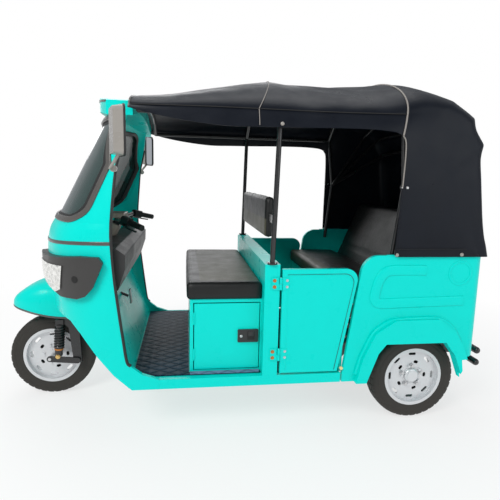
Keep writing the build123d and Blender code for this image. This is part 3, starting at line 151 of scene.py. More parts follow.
# Black seat vinyl made lighter and browner where sunlight fell on it: painted sunlight.
SUNLIT_VINYL = surface("painted_sunlit_seat_vinyl", (0.086, 0.084, 0.060), 0.40, grain=0.45, spec=0.16,
              grain_size=0.0022, leather=True, tone=0.16)
HOOD = surface("hood_vinyl", (0.005, 0.007, 0.012), 0.36, grain=0.3, spec=0.17,
               grain_size=0.0018, leather=True, wear=0.09, wear_size=0.12, tone=0.3)
PIPING = surface("grey_piping", (0.26, 0.24, 0.22), 0.5, grain=0.3, grain_size=0.001,
                 tone=0.2)
# Matt black for seams and an unlit lamp, also used as painted shade in the door creases
# and the latch pocket.
SEAM_BLACK_AND_SHADE = surface("black_seams_and_painted_shade", (0.006, 0.006, 0.006), 0.7, wear=0.05)
AMBER = surface("door_stop_plastic", (0.75, 0.62, 0.30), 0.4, wear=0.05)
RED = surface("red_lens", (0.42, 0.008, 0.008), 0.12, coat=0.6, wear=0.03, grain=0.25,
              grain_size=0.006)
MIRROR = surface("silvered_glass", (0.86, 0.89, 0.92), 0.03, metal=1.0, wear=0.01,
                 tone=0.02)
PEDAL = surface("pedal_grey", (0.30, 0.31, 0.32), 0.45, grain=0.2, grain_size=0.003)


def tinted_glass(name, color, alpha, rough=0.03):
    """Glass with faint smears."""
    mat, tree, shader = new_material(name)
    put(shader, {"Base Color": (*color, 1), "Alpha": alpha, "IOR": 1.5,
                 "Coat Weight": 0.5, "Coat Roughness": 0.02})
    place = add(tree, "TexCoord")
    smear = add(tree, "TexNoise", {"Scale": 6, "Detail": 6})
    ramp = add(tree, "MapRange", {"To Min": rough, "To Max": rough + 0.07})
    join(place, "Object", smear, "Vector")
    join(smear, "Fac", ramp, "Value")
    join(ramp, "Result", shader, "Roughness")
    return mat


def color_ramp(shader, node, output, first, last, last_at=1.0):
    """Base colour that runs from first to last with a node's output."""
    ramp = add(shader.id_data, "ValToRGB")
    start, end = ramp.color_ramp.elements
    start.color = (*first, 1)
    end.color = (*last, 1)
    end.position = last_at
    join(node, output, ramp, "Fac")
    join(ramp, "Color", shader, "Base Color")


def faceted_reflector():
    """Bright lamp reflector broken into facets."""
    mat, tree, shader = new_material("faceted_reflector")
    put(shader, {"Metallic": 0.75, "Roughness": 0.22})
    place = add(tree, "TexCoord")
    cells = add(tree, "TexVoronoi", {"Scale": 55})
    join(place, "Object", cells, "Vector")
    color_ramp(shader, cells, "Distance", (0.55, 0.55, 0.53), (0.95, 0.95, 0.92))
    relief(shader, cells, "Distance", 0.8, 0.004)
    return mat


def quilted_vinyl(name, color, rough, across=5.6, tone=0.5):
    """Vinyl stitched in a diamond pattern, with painted shade darkening its sunken
    lines.
    """
    mat, tree, shader = new_material(name)
    put(shader, {"Roughness": rough, "Specular IOR Level": 0.1})
    place = add(tree, "TexCoord")
    both = add(tree, "Math", operation="MINIMUM")
    for i, turn in enumerate((34, -34)):
        mapping = add(tree, "Mapping", {"Rotation": (0, 0, math.radians(turn))})
        wave = add(tree, "TexWave", {"Scale": across, "Distortion": 0.15},
                   wave_profile="SIN", bands_direction="Y")
        power = add(tree, "Math", {1: 0.35}, operation="POWER")
        join(place, "Object", mapping, "Vector")
        join(mapping, "Vector", wave, "Vector")
        join(wave, "Fac", power, 0)
        join(power, "Value", both, i)
    relief(shader, both, "Value", 0.9, 0.004)
    # The sunken lines are darkened by tone: painted shade in the grooves.
    low = [c * (1 - tone) for c in color]
    color_ramp(shader, both, "Value", low, color, 0.7)
    return mat


SCREEN = tinted_glass("tinted_screen", (0.030, 0.062, 0.058), 0.80)
REFLECTOR = faceted_reflector()
MAT = quilted_vinyl("quilted_mat", (0.005, 0.032, 0.058), 0.42)
MAT_LIGHT = quilted_vinyl("quilted_strip", (0.18, 0.25, 0.40), 0.38)


# Mesh helpers
def link_object(name, data):
    obj = bpy.data.objects.new(name, data)
    scene.collection.objects.link(obj)
    return obj


def make_mesh(name, verts, faces):
    """Mesh from points in millimetres."""
    mesh = bpy.data.meshes.new(name)
    mesh.from_pydata([tuple(c * MM for c in v) for v in verts], [], faces)
    return mesh


def grid_faces(rows, width, loop=False, ring=True):
    """Quads between rows of points.

    loop joins the last row to the first, ring closes each row on itself.
    """
    faces = []
    for i in range(rows if loop else rows - 1):
        a, b = i * width, (i + 1) % rows * width
        for k in range(width if ring else width - 1):
            n = (k + 1) % width
            faces.append((a + k, a + n, b + n, b + k))
    return faces


def mirrored(half):
    """Points of a left half that ends on the middle, with its right half."""
    return half + [Vector((p.x, -p.y, p.z)) for p in half[:-1]][::-1]


def shade(obj, angle):
    obj.data.shade_smooth()
    obj.data.set_sharp_from_angle(angle=math.radians(angle))


def finish_object(obj, mats, body, angle):
    obj.data.materials.clear()
    for mat in mats:
        obj.data.materials.append(mat)
    shade(obj, angle)
    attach(obj, body)
    return obj


def mesh_piece(name, verts, faces, mat, body, angle):
    """Finished object from points in millimetres."""
    mesh = make_mesh(name, verts, faces)
    work = bmesh.new()
    work.from_mesh(mesh)
    bmesh.ops.recalc_face_normals(work, faces=work.faces)
    work.to_mesh(mesh)
    work.free()
    return finish_object(link_object(name, mesh), [mat], body, angle)


def apply_modifiers(obj):
    bpy.context.view_layer.objects.active = obj
    for one in bpy.context.selected_objects:
        one.select_set(False)
    obj.select_set(True)
    for mod in list(obj.modifiers):
        bpy.ops.object.modifier_apply(modifier=mod.name)


def modify(obj, kind, **settings):
    mod = obj.modifiers.new(kind.lower(), kind)
    for key, value in settings.items():
        setattr(mod, key, value)


def bevel(obj, width, segments, angle):
    modify(obj, "BEVEL", width=width * MM, segments=segments, limit_method="ANGLE",
           angle_limit=math.radians(angle))
    apply_modifiers(obj)


def sweep(name, points, size, mat, body, closed=False, sides=10, ups=None):
    """Strip along points; size is a radius, or half width and half height.

    ups is one way for the height of the whole strip, or a list of one a point.
    """
    pts = [Vector(p) for p in points]
    count = len(pts)
    if isinstance(ups, tuple):
        ups = [ups] * count
    verts = []
    up = Vector((0.13, 0.21, 0.97))
    for i, p in enumerate(pts):
        before = pts[(i - 1) % count] if closed or i else p
        after = pts[(i + 1) % count] if closed or i < count - 1 else p
        way = (after - before).normalized()
        if ups:
            up = Vector(ups[i]).normalized()
        side = way.cross(up).normalized()
        up = side.cross(way).normalized()
        for k in range(sides):
            turn = 2 * math.pi * (k + 0.5) / sides
            c, s = math.cos(turn), math.sin(turn)
            if isinstance(size, tuple):
                dx = size[0] * math.copysign(math.sqrt(abs(c)), c)
                dy = size[1] * math.copysign(math.sqrt(abs(s)), s)
            else:
                dx, dy = size * c, size * s
            verts.append(p + side * dx + up * dy)
    faces = grid_faces(count, sides, loop=closed)
    if not closed:
        faces.append(tuple(range(sides)))
        faces.append(tuple(range((count - 1) * sides, count * sides)))
    return mesh_piece(name, verts, faces, mat, body, 40)


def smooth_line(points, per=8):
    """Catmull-Rom curve through points of any number of columns."""
    pts = [Vector(p) for p in points]
    pts = [pts[0] * 2 - pts[1], *pts, pts[-1] * 2 - pts[-2]]
    out = []
    for p0, p1, p2, p3 in zip(pts, pts[1:], pts[2:], pts[3:]):
        for k in range(per):
            t = k / per
            out.append(0.5 * (2 * p1 + (p2 - p0) * t
                              + (2 * p0 - 5 * p1 + 4 * p2 - p3) * t * t
                              + (3 * p1 - p0 - 3 * p2 + p3) * t ** 3))
    out.append(pts[-2])
    return out


def rounded_polygon(points, radius, per):
    """Corners of a flat polygon rounded, as 2-D points.

    radius is one value or one for each corner; 0 keeps a corner sharp.
    """
    out = []
    count = len(points)
    for i, corner in enumerate(points):
        c = Vector(corner)
        a = Vector(points[i - 1]) - c
        b = Vector(points[(i + 1) % count]) - c
        r = radius[i] if isinstance(radius, (list, tuple)) else radius
        if not r:
            out.append(c)
            continue
        half = a.angle(b) / 2
        reach = min(r / math.tan(half), a.length * 0.49, b.length * 0.49)
        r = reach * math.tan(half)
        middle = c + (a.normalized() + b.normalized()).normalized() * (
            r / math.sin(half))
        start = c + a.normalized() * reach - middle
        end = c + b.normalized() * reach - middle
        turn = start.angle_signed(end)
        for k in range(per + 1):
            t = -turn * k / per
            out.append(middle + Vector((
                start.x * math.cos(t) - start.y * math.sin(t),
                start.x * math.sin(t) + start.y * math.cos(t))))
    return out


def rectangle(x0, z0, x1, z1, radius, per):
    return rounded_polygon(((x0, z0), (x1, z0), (x1, z1), (x0, z1)), radius, per)


def plate(name, outline, place, thick, mat, body, round_edge=0.0):
    """Flat plate; place(u, v, w) gives the point for an outline point."""
    count = len(outline)
    verts = [place(p[0], p[1], level) for level in (0, thick) for p in outline]
    faces = [tuple(range(count)), tuple(range(count, 2 * count))]
    faces += grid_faces(2, count)
    obj = mesh_piece(name, verts, faces, mat, body, 35)
    if round_edge:
        bevel(obj, round_edge, 2, 50)
        shade(obj, 35)
    return obj


def circle(center, side, up, radius, sides):
    turns = [2 * math.pi * k / sides for k in range(sides)]
    return [center + side * (radius * math.cos(t)) + up * (radius * math.sin(t))
            for t in turns]


def shifted(faces, base):
    return [tuple(base + k for k in face) for face in faces]


def dome(name, places, mat, body, sides=16):
    """Round-headed studs: centre, outward way, radius and height."""
    levels = ((1.0, -1.0), (1.0, 0.15), (0.86, 0.6), (0.5, 0.92))
    verts, faces = [], []
    for center, way, radius, height in places:
        way = Vector(way).normalized()
        side = way.orthogonal().normalized()
        up = way.cross(side)
        base = len(verts)
        for grow, rise in levels:
            verts += circle(Vector(center) + way * (height * rise), side, up,
                            radius * grow, sides)
        top = len(verts)
        verts.append(Vector(center) + way * height)
        faces += shifted(grid_faces(len(levels), sides), base)
        faces += [(top - sides + k, top - sides + (k + 1) % sides, top)
                  for k in range(sides)]
        faces.append(tuple(range(base, base + sides))[::-1])
    return mesh_piece(name, verts, faces, mat, body, 50)


def hex_bolt(name, places, mat, body):
    """Hexagon heads with a washer: centre, outward way, radius, height."""
    verts, faces = [], []
    for center, way, radius, height in places:
        way = Vector(way).normalized()
        side = way.orthogonal().normalized()
        up = way.cross(side)
        for wide, low, high, sides in ((radius * 1.35, -1.5, height * 0.22, 20),
                                       (radius, height * 0.2, height, 6)):
            base = len(verts)
            for level in (low, high):
                verts += circle(Vector(center) + way * level, side, up, wide, sides)
            faces.append(tuple(range(base, base + sides))[::-1])
            faces.append(tuple(range(base + sides, base + 2 * sides)))
            faces += shifted(grid_faces(2, sides), base)
    return mesh_piece(name, verts, faces, mat, body, 35)


def give(mat, *nodes):
    for node in nodes:
        mesh = bpy.data.objects[node].data
        mesh.materials.clear()
        mesh.materials.append(mat)
        for poly in mesh.polygons:
            poly.material_index = 0


# Shape of the cowl
NOSE_ARC = 900.0
CORNER_ARC = 337.0
CORNER_Y = HALF_BODY - CORNER_ARC
CORNER_TURN = math.asin(CORNER_Y / (NOSE_ARC - CORNER_ARC))
CORNER_DEPTH = NOSE_ARC - (NOSE_ARC - CORNER_ARC) * math.cos(CORNER_TURN)
SPLIT_Y = NOSE_ARC * math.sin(CORNER_TURN)
COWL_FOOT_Z = 262
SCREEN_LOW = (1083.0, 1029.0)
SCREEN_LEAN = 0.511
# Height and x of the nose: the solid's straight line, and the curve it stands for
NOSE_LINE = ((COWL_FOOT_Z, 985), (700, 1062), (880, 1080), (1056, 1062), SCREEN_LOW,
             (1640, 744.4))
NOSE_CURVE = ((COWL_FOOT_Z, 985), (420, 1016), (560, 1041), (700, 1061),
              (790, 1071), (880, 1077), (960, 1075), (1020, 1064), (1056, 1048),
              SCREEN_LOW)
# The nose is bent fully ahead of the second x, and not at all behind the first
BEND_FROM_X = 600
BEND_LENGTH = 260


def straight_nose(z):
    for (z0, x0), (z1, x1) in zip(NOSE_LINE, NOSE_LINE[1:]):
        if z <= z1:
            return x0 + (x1 - x0) * (z - z0) / (z1 - z0)
    return NOSE_LINE[-1][1]


def nose(z):
    """Smooth nose line: x of the nose at a height."""
    if z >= SCREEN_LOW[0]:
        return SCREEN_LOW[1] - (z - SCREEN_LOW[0]) * SCREEN_LEAN
    last = len(NOSE_CURVE) - 1
    i = next(i for i in range(last) if z <= NOSE_CURVE[i + 1][0])
    z1, x1 = NOSE_CURVE[i]
    z2, x2 = NOSE_CURVE[i + 1]
    z0, x0 = NOSE_CURVE[max(i - 1, 0)]
    z3, x3 = NOSE_CURVE[min(i + 2, last)]
    t = (z - z1) / (z2 - z1)
    m1 = (x2 - x0) / (z2 - z0) * (z2 - z1)
    m2 = (x3 - x1) / (z3 - z1) * (z2 - z1)
    return ((2 * t**3 - 3 * t**2 + 1) * x1 + (t**3 - 2 * t**2 + t) * m1
            + (-2 * t**3 + 3 * t**2) * x2 + (t**3 - t**2) * m2)


def skin_x(y, z):
    """x of the cowl's outer face at a side distance and a height."""
    a = abs(y)
    if a <= SPLIT_Y:
        return nose(z) - NOSE_ARC + math.sqrt(NOSE_ARC ** 2 - a * a)
    depth = min(a - CORNER_Y, CORNER_ARC)
    return nose(z) - CORNER_DEPTH + math.sqrt(CORNER_ARC ** 2 - depth * depth)


def skin_normal(y, z):
    e = 0.5
    dy = Vector((skin_x(y + e, z) - skin_x(y - e, z), 2 * e, 0))
    dz = Vector((skin_x(y, z + e) - skin_x(y, z - e), 0, 2 * e))
    n = dy.cross(dz).normalized()
    return n if n.x > 0 else -n


def on_skin(y, z, out):
    """Point at a distance out from the cowl's outer face."""
    return Vector((skin_x(y, z), y, z)) + skin_normal(y, z) * out


def side_of(x, z):
    """Outer side distance of the cowl at a place seen from the side."""
    reach = x - nose(z) + CORNER_DEPTH
    if reach <= 0:
        return HALF_BODY
    if reach < CORNER_ARC * math.cos(CORNER_TURN):
        return CORNER_Y + math.sqrt(max(0.0, CORNER_ARC ** 2 - reach ** 2))
    return math.sqrt(max(0.0, NOSE_ARC ** 2 - (x - nose(z) + NOSE_ARC) ** 2))


def cut_across(work, place, normal, dist):
    bmesh.ops.bisect_plane(work, geom=work.verts[:] + work.edges[:] + work.faces[:],
                           plane_co=place, plane_no=normal, dist=dist)


def curved_copy(node, name, step):
    """Copy of a node with its nose turned from flat bands into a curve."""
    obj = link_object(name, bpy.data.objects[node].data.copy())
    work = bmesh.new()
    work.from_mesh(obj.data)
    height = COWL_FOOT_Z + step
    while height < SCREEN_LOW[0] + 1:
        cut_across(work, (0, 0, height * MM), (0, 0, 1), 1e-6)
        height += step
    for vert in work.verts:
        x, z = vert.co.x / MM, vert.co.z / MM
        if z < SCREEN_LOW[0]:
            share = min(1.0, max(0.0, (x - BEND_FROM_X) / BEND_LENGTH))
            vert.co.x += (nose(z) - straight_nose(z)) * share * MM
    bmesh.ops.triangulate(work, faces=[f for f in work.faces if len(f.verts) > 4])
    work.to_mesh(obj.data)
    work.free()
    return obj


cowl = curved_copy("front_cowl", "cowl_shell", 16)
finish_object(cowl, [PAINT], "body", 24)
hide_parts("front_cowl")

# Lamps follow the curved nose
LAMPS = (
    # node, piece, material, slot, rounded edge
    ("headlamp_housings", "lamp_bezels", LAMP_BLACK, "black_plastic", 7),
    ("headlamp_lenses", "lamp_lenses", REFLECTOR, "lamp_clear", 3),
)
for node, name, mat, slot_name, edge in LAMPS:
    lamp = curved_copy(node, name, 400)
    finish_object(lamp, [mat], "body", 30)
    bevel(lamp, edge, 3, 45)
    shade(lamp, 50)
    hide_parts(node)

# Band of rubber around the nose, lower in front, with straight ends along the sides
BAND_HALF = 596
BAND_Z = 991
BAND_SAG = 24
BAND_END_X = (690, 668)
BAND_STEPS = 56

stripe, stripe_ups = [], []
for i in range(BAND_STEPS + 1):
    y = BAND_HALF * math.sin(math.pi * (i / BAND_STEPS - 0.5))
    z = BAND_Z - BAND_SAG * (1 - (abs(y) / BAND_HALF) ** 2)
    stripe.append(on_skin(y, z, 0.6))
    stripe_ups.append(skin_normal(y, z))
left_end = [Vector((x, HALF_BODY + 0.6, BAND_Z)) for x in BAND_END_X]
right_end = [Vector((p.x, -p.y, p.z)) for p in left_end[::-1]]
# The band's grey is painted sunlight on black rubber.
sweep("nose_band", right_end + stripe + left_end, (8.5, 2.4), SUNLIT_TRIM, "body",
      ups=[(0, -1, 0)] * 2 + stripe_ups + [(0, 1, 0)] * 2, sides=12)

# Windscreen rubber on both faces of the glass and in the cabin; the outer strip is
# grey, painted sunlight on the black rubber
WINDOW = rounded_polygon(((-552, 1092), (552, 1092), (545, 1361), (440, 1588),
                          (-440, 1588), (-545, 1361)), 70, 10)
WINDOW_MIDDLE_Z = 1347
LINE_GAP = 22


def dense(points):
    """Closed outline with points no more than about a gap apart."""
    out = []
    for a, b in zip(points, points[1:] + points[:1]):
        steps = max(1, int((b - a).length / LINE_GAP))
        out += [a + (b - a) * k / steps for k in range(steps)]
    return out


screen_line = dense(WINDOW)
inner_line = [Vector((y * 0.965, WINDOW_MIDDLE_Z + (z - WINDOW_MIDDLE_Z) * 0.945))
              for y, z in screen_line]
SCREEN_RUBBERS = (
    # end of the name, line, distance out, material, half width and height, sides
    ("outer", screen_line, 1.5, SUNLIT_TRIM, (15, 6), 14),
    ("inner", inner_line, -9, RUBBER, (14, 5), 10),
    ("cabin", screen_line, -25.5, RUBBER, (11, 4), 10),
)
for word, line, out, mat, size, sides in SCREEN_RUBBERS:
    sweep("screen_rubber_" + word, [on_skin(y, z, out) for y, z in line], size, mat,
          "body", closed=True, sides=sides,
          ups=[skin_normal(y, z) for y, z in line])

# Black edge trim down the door openings of the cowl, as x and z
OPENING_EDGE = ((606, 1484), (638, 1348), (653, 1213), (665, 1061), (663, 944),
                (650, 776), (620, 523), (604, 411), (586, 386))
for side, word in SIDES:
    line = [(x - 2, side * (side_of(x, z) - 6), z)
            for x, z in smooth_line(OPENING_EDGE)]
    sweep("door_edge_trim_" + word, line, (6.5, 9), RUBBER, "body",
          ups=(0, side, 0), sides=12)


# Camera, fitted to the photograph, in metres and radians
CAMERA_PLACE = (0.31745, 2.73367, 1.30243)
YAW, PITCH, ROLL = 0.1439, 0.1559, 0.0237
FOCAL_PIXELS = 448.54
PICTURE_PIXELS = 500
SENSOR = 36


def make_camera():
    data = bpy.data.cameras.new("camera")
    cam = link_object("camera", data)
    ahead = Vector((-math.sin(YAW) * math.cos(PITCH),
                    -math.cos(YAW) * math.cos(PITCH), -math.sin(PITCH)))
    level = Vector((-math.cos(YAW), math.sin(YAW), 0))
    rise = level.cross(ahead)
    right = math.cos(ROLL) * level + math.sin(ROLL) * rise
    up = -math.sin(ROLL) * level + math.cos(ROLL) * rise
    turn = Matrix((right, up, -ahead)).transposed()
    cam.matrix_world = Matrix.Translation(CAMERA_PLACE) @ turn.to_4x4()
    data.sensor_width = SENSOR
    data.lens = SENSOR * FOCAL_PIXELS / PICTURE_PIXELS
    scene.camera = cam


make_camera()

# Light
LIGHTS = (
    # name, place, target, width and height, watts, colour
    ("key", (3.2, 4.2, 4.6), (0.1, 0.2, 0.8), (2.2, 2.2), 210, (1, 0.985, 0.96)),
    ("fill", (-3.6, 4.0, 2.4), (-0.2, 0, 0.8), (3.5, 2.5), 50, (0.95, 0.98, 1)),
    ("top", (0, -0.6, 5.2), (0, 0, 0), (4.5, 3.0), 75, (1, 1, 1)),
    ("back", (0.5, -4.5, 3.0), (0, 0, 0.9), (4, 2.5), 60, (1, 1, 1)),
)
for name, place, target, size, power, color in LIGHTS:
    data = bpy.data.lights.new(name, "AREA")
    data.shape = "RECTANGLE"
    data.size, data.size_y = size
    data.energy = power
    data.color = color
    lamp = link_object(name, data)
    lamp.location = place
    way = Vector(target) - Vector(place)
    lamp.rotation_euler = way.to_track_quat("-Z", "Y").to_euler()


def make_world():
    """Pale surroundings that the camera sees as white."""
    world = bpy.data.worlds.new("world")
    scene.world = world
    world.use_nodes = True
    tree = world.node_tree
    soft = put(tree.nodes["Background"], {"Color": (0.93, 0.96, 1.0, 1),
                                          "Strength": 0.42})
    seen = add(tree, "Background", {"Color": (1, 1, 1, 1), "Strength": 1.0})
    ray = add(tree, "LightPath")
    pick = add(tree, "MixShader")
    join(ray, "Is Camera Ray", pick, "Fac")
    join(soft, "Background", pick, 1)
    join(seen, "Background", pick, 2)
    join(pick, "Shader", tree.nodes["World Output"], "Surface")


make_world()
scene.view_settings.view_transform = "Standard"
scene.view_settings.look = "None"

# Floor, in metres: it glows more the further away it is, so no horizon shows
FLOOR_REACH = 14.0
GLOW_NEAR = 1.2
GLOW_FAR = 3.6


def make_floor():
    r = FLOOR_REACH
    mesh = bpy.data.meshes.new("floor")
    mesh.from_pydata([(-r, -r, 0), (r, -r, 0), (r, r, 0), (-r, r, 0)], [],
                     [(0, 1, 2, 3)])
    mat, tree, shader = new_material("pale_floor")
    put(shader, {"Base Color": (0.93, 0.93, 0.92, 1), "Roughness": 0.9})
    glow = add(tree, "Emission", {"Color": (1, 1, 1, 1), "Strength": 1.0})
    far = add(tree, "VectorMath", operation="LENGTH")
    spot = add(tree, "NewGeometry")
    fade = add(tree, "MapRange", {"From Min": GLOW_NEAR, "From Max": GLOW_FAR,
                                  "To Min": 0.68, "To Max": 1.0})
    mix = add(tree, "MixShader")
    join(spot, "Position", far, 0)
    join(far, "Value", fade, "Value")
    join(fade, "Result", mix, "Fac")
    join(shader, "BSDF", mix, 1)
    join(glow, "Emission", mix, 2)
    join(mix, "Shader", tree.nodes["Material Output"], "Surface")
    mesh.materials.append(mat)
    link_object("floor", mesh)


make_floor()

# Finishes of the carried-over nodes
give(PAINT, "floor_pan", "roof_visor", "front_fender", "leg_shield",
     "driver_seat_box", "partition_wall", "door_hinges", "rear_side_panel_left",
     "rear_side_panel_right", "rear_end_panel", "wheel_housings",
     "passenger_bench", "door_left", "door_right", "seat_hatch")
give(BLACK, "chassis_frame", "roof_posts", "roof_frame", "rear_bumper",
     "rear_axle", "leaf_springs", "front_fork", "front_links", "front_dampers",
     "handlebar", "hood_bows")
give(PLASTIC, "dash_console", "battery_pack")
give(MAT, "floor_mat")
give(SCREEN, "windscreen")
give(SHELL, "mirror_housings")
give(MIRROR, "mirror_glasses")
give(RED, "tail_lamps")
give(STEEL, "front_axle")
give(RUBBER, "hand_grips")
# The instrument cover takes the painted sunlit cream.
give(SUNLIT_COVER_PLASTIC, "instrument_cover")
give(TYRE, "front_tyre", "rear_left_tyre", "rear_right_tyre")
give(RIM, "front_rim", "rear_left_rim", "rear_right_rim")

# Hood: one sheet from valance to valance, over the hoops and down the rear.
# Rows run from the front to the rear. A hard row is a hoop, a bow or a hem.
HOOD_ROWS = (
    # lower edge x z y, upper edge of the side x z y, crown x z, boxiness, hard
    ((566, 1606, 628), (566, 1624, 602), (566, 1724), 1.75, True),
    ((453, 1580, 634), (453, 1624, 604), (430, 1744), 1.65, False),
    ((344, 1562, 637), (344, 1626, 607), (237, 1786), 1.6, False),
    ((233, 1549, 639), (233, 1628, 608), (100, 1816), 1.58, False),
    ((119, 1541, 640), (119, 1628, 608), (-30, 1843), 1.56, False),
    ((-19, 1543, 640), (-19, 1628, 608), (-144, 1860), 1.55, True),
    ((-180, 1546, 640), (-180, 1627, 608), (-270, 1850), 1.55, False),
    ((-351, 1550, 640), (-340, 1626, 608), (-420, 1845), 1.56, False),
    ((-520, 1552, 640), (-500, 1627, 608), (-560, 1848), 1.58, False),
    ((-620, 1549, 640), (-620, 1628, 607), (-665, 1855), 1.62, False),
    ((-686, 1542, 638), (-694, 1630, 606), (-722, 1862), 1.72, False),
    ((-719, 1528, 636), (-747, 1634, 604), (-772, 1865), 1.85, True),
    ((-735, 1500, 635), (-795, 1646, 602), (-855, 1858), 2.0, False),
    ((-740, 1440, 634), (-860, 1656, 600), (-945, 1818), 2.3, False),
    ((-740, 1380, 632), (-935, 1658, 600), (-1092, 1757), 2.6, True),
    ((-739, 1330, 630), (-1010, 1632, 600), (-1158, 1696), 2.8, False),
    ((-739, 1290, 628), (-1056, 1590, 600), (-1196, 1667), 3.0, True),
    ((-738, 1240, 626), (-1080, 1538, 601), (-1194, 1602), 3.3, False),
    ((-738, 1190, 624), (-1118, 1468, 602), (-1240, 1530), 3.6, True),
    ((-736, 1080, 620), (-1108, 1420, 603), (-1222, 1440), 3.9, False),
    ((-735, 930, 614), (-1114, 1325, 608), (-1232, 1325), 4.2, True),
    ((-840, 930, 614), (-1124, 1236, 610), (-1240, 1236), 4.5, False),
    ((-940, 930, 614), (-1140, 1130, 611), (-1250, 1130), 4.8, False),
    ((-1040, 930, 614), (-1160, 1040, 612), (-1262, 1040), 5.1, False),
    ((-1130, 930, 614), (-1182, 980, 613), (-1276, 980), 5.4, False),
    ((-1200, 930, 613), (-1200.5, 930, 613), (-1286, 930), 5.6, True),
)
FRONT_ROW, MIDDLE_HOOP_ROW, REAR_HOOP_ROW = 0, 5, 11
SIDE_STEPS = 12
CROSS_STEPS = 20
SIDE_BULGE = 4.0
CLOTH_THICK = 2.5


def row_values(row):
    low, high, crown, boxiness, _ = row
    return Vector((*low, *high, *crown, boxiness))


def hood_rows():
    """All rows of the hood, curved between its hard rows."""
    hard = [i for i, row in enumerate(HOOD_ROWS) if row[4]]
    rows = []
    for start, end in zip(hard, hard[1:]):
        keys = [row_values(row) for row in HOOD_ROWS[start:end + 1]]
        rows += smooth_line(keys, 7)[:-1]
    return rows + [row_values(HOOD_ROWS[-1])]


def hood_line(row):
    """Points of one row from the left edge to the crown."""
    lx, lz, ly, ux, uz, uy, cx, cz, n = row
    points = []
    for k in range(SIDE_STEPS):
        t = k / SIDE_STEPS
        bulge = SIDE_BULGE * math.sin(math.pi * t)
        points.append(Vector((lx + (ux - lx) * t, ly + (uy - ly) * t + bulge,
                              lz + (uz - lz) * t)))
    for k in range(CROSS_STEPS + 1):
        t = math.pi / 2 * k / CROSS_STEPS
        wide = max(0.0, math.cos(t)) ** (2 / n)
        rise = math.sin(t) ** (2 / n)
        points.append(Vector((ux + (cx - ux) * rise, uy * wide,
                              uz + (cz - uz) * rise)))
    return points


def wrinkle(p):
    """Slack of the cloth at a point, along its outward face."""
    x, y, z = p
    amount = 2.2 * noise.noise(Vector((x / 210, y / 160, z / 170)))
    top = max(0.0, min(1.0, (z - 1600) / 60))
    slack = top * math.exp(-((x + 420) / 330) ** 2)
    amount += 9.0 * slack * noise.noise(
        Vector(((x + 0.8 * y) / 130, (y - 0.5 * x) / 380, 3.1)))
    front = top * math.exp(-((x - 330) / 240) ** 2)
    amount += 5.0 * front * noise.noise(Vector((x / 420, y / 70, 8.2)))
    low = max(0.0, min(1.0, (1250 - z) / 250))
    amount += 2.4 * low * noise.noise(Vector((x / 60, y / 60, z / 420)))
    return amount


def make_hood():
    grid = [mirrored(hood_line(row)) for row in hood_rows()]
    verts = [p for line in grid for p in line]
    mesh = make_mesh("hood", verts, grid_faces(len(grid), len(grid[0]), ring=False))
    obj = link_object("hood", mesh)
    work = bmesh.new()
    work.from_mesh(mesh)
    bmesh.ops.remove_doubles(work, verts=work.verts, dist=0.0008)
    bmesh.ops.recalc_face_normals(work, faces=work.faces)
    if sum(f.normal.z * f.calc_area() for f in work.faces) < 0:
        bmesh.ops.reverse_faces(work, faces=work.faces)
    work.normal_update()
    moves = []
    for vert in work.verts:
        share = 0.35 if vert.is_boundary else 1.0
        moves.append(vert.normal * (wrinkle(Vector(vert.co) / MM) * share * MM))
    for vert, move in zip(work.verts, moves):
        vert.co += move
    work.to_mesh(mesh)
    work.free()
    modify(obj, "SUBSURF", levels=1)
    modify(obj, "SOLIDIFY", thickness=CLOTH_THICK * MM, offset=-1)
    apply_modifiers(obj)
    return obj


hood = make_hood()
finish_object(hood, [HOOD], "body", 40)
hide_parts("canopy")

# Seams over the hoops, and the trim of the front edge, whose grey is painted sunlight
# on black rubber
HOOD_MIDDLE = Vector((-300, 0, 1500))
HOOD_SEAMS = (
    # row, first point, radius, material
    (REAR_HOOP_ROW, 0, 4.2, PIPING),
    (MIDDLE_HOOP_ROW, 1, 2.0, PIPING),
    (FRONT_ROW, 0, 4.5, SUNLIT_TRIM),
)
for index, first, radius, mat in HOOD_SEAMS:
    half = [p + (p - HOOD_MIDDLE).normalized() * 3.5
            for p in hood_line(row_values(HOOD_ROWS[index]))[first:]]
    sweep("hood_seam_%d" % index, mirrored(half), radius, mat, "body",
          sides=8)

# Piping, seams and hem along the sides of the hood, as x, z and y
FLANK_LINES = (
    # name, radius, material, points between two, line
    ("curtain_piping_", 3.4, PIPING, 6,
     ((-719, 1528, 640), (-735, 1500, 639), (-740, 1430, 637), (-740, 1330, 633),
      (-739, 1280, 631))),
    ("curtain_edge_", 3.2, HOOD, 6,
     ((-739, 1275, 629), (-737, 1150, 626), (-735, 1040, 620), (-734, 940, 617))),
    ("rail_seam_", 2.4, SEAM_BLACK_AND_SHADE, 8,
     ((560, 1623, 606), (232, 1627, 611), (-46, 1627, 612), (-408, 1627, 612),
      (-744, 1633, 609))),
    ("hem_seam_", 1.4, SEAM_BLACK_AND_SHADE, 8,
     ((-736, 972, 622), (-940, 973, 622), (-1120, 973, 622))),
)
for side, word in SIDES:
    out = (0, side, 0)
    for name, radius, mat, per, line in FLANK_LINES:
        sweep(name + word, smooth_line([(x, side * y, z) for x, z, y in line], per),
              radius, mat, "body", sides=8)
    dome("hood_studs_" + word,
         [((-744, side * 616, 941), out, 10, 7),
          ((-1100, side * 616, 943), out, 10, 7),
          ((-124, side * 640, 1560), out, 9, 6)],
         SHELL, "body")
    dome("strap_stud_" + word,
         [((-765, side * 630, 1280), out, 8, 7),
          ((-738, side * 630, 1280), out, 4, 4)],
         STEEL, "body")


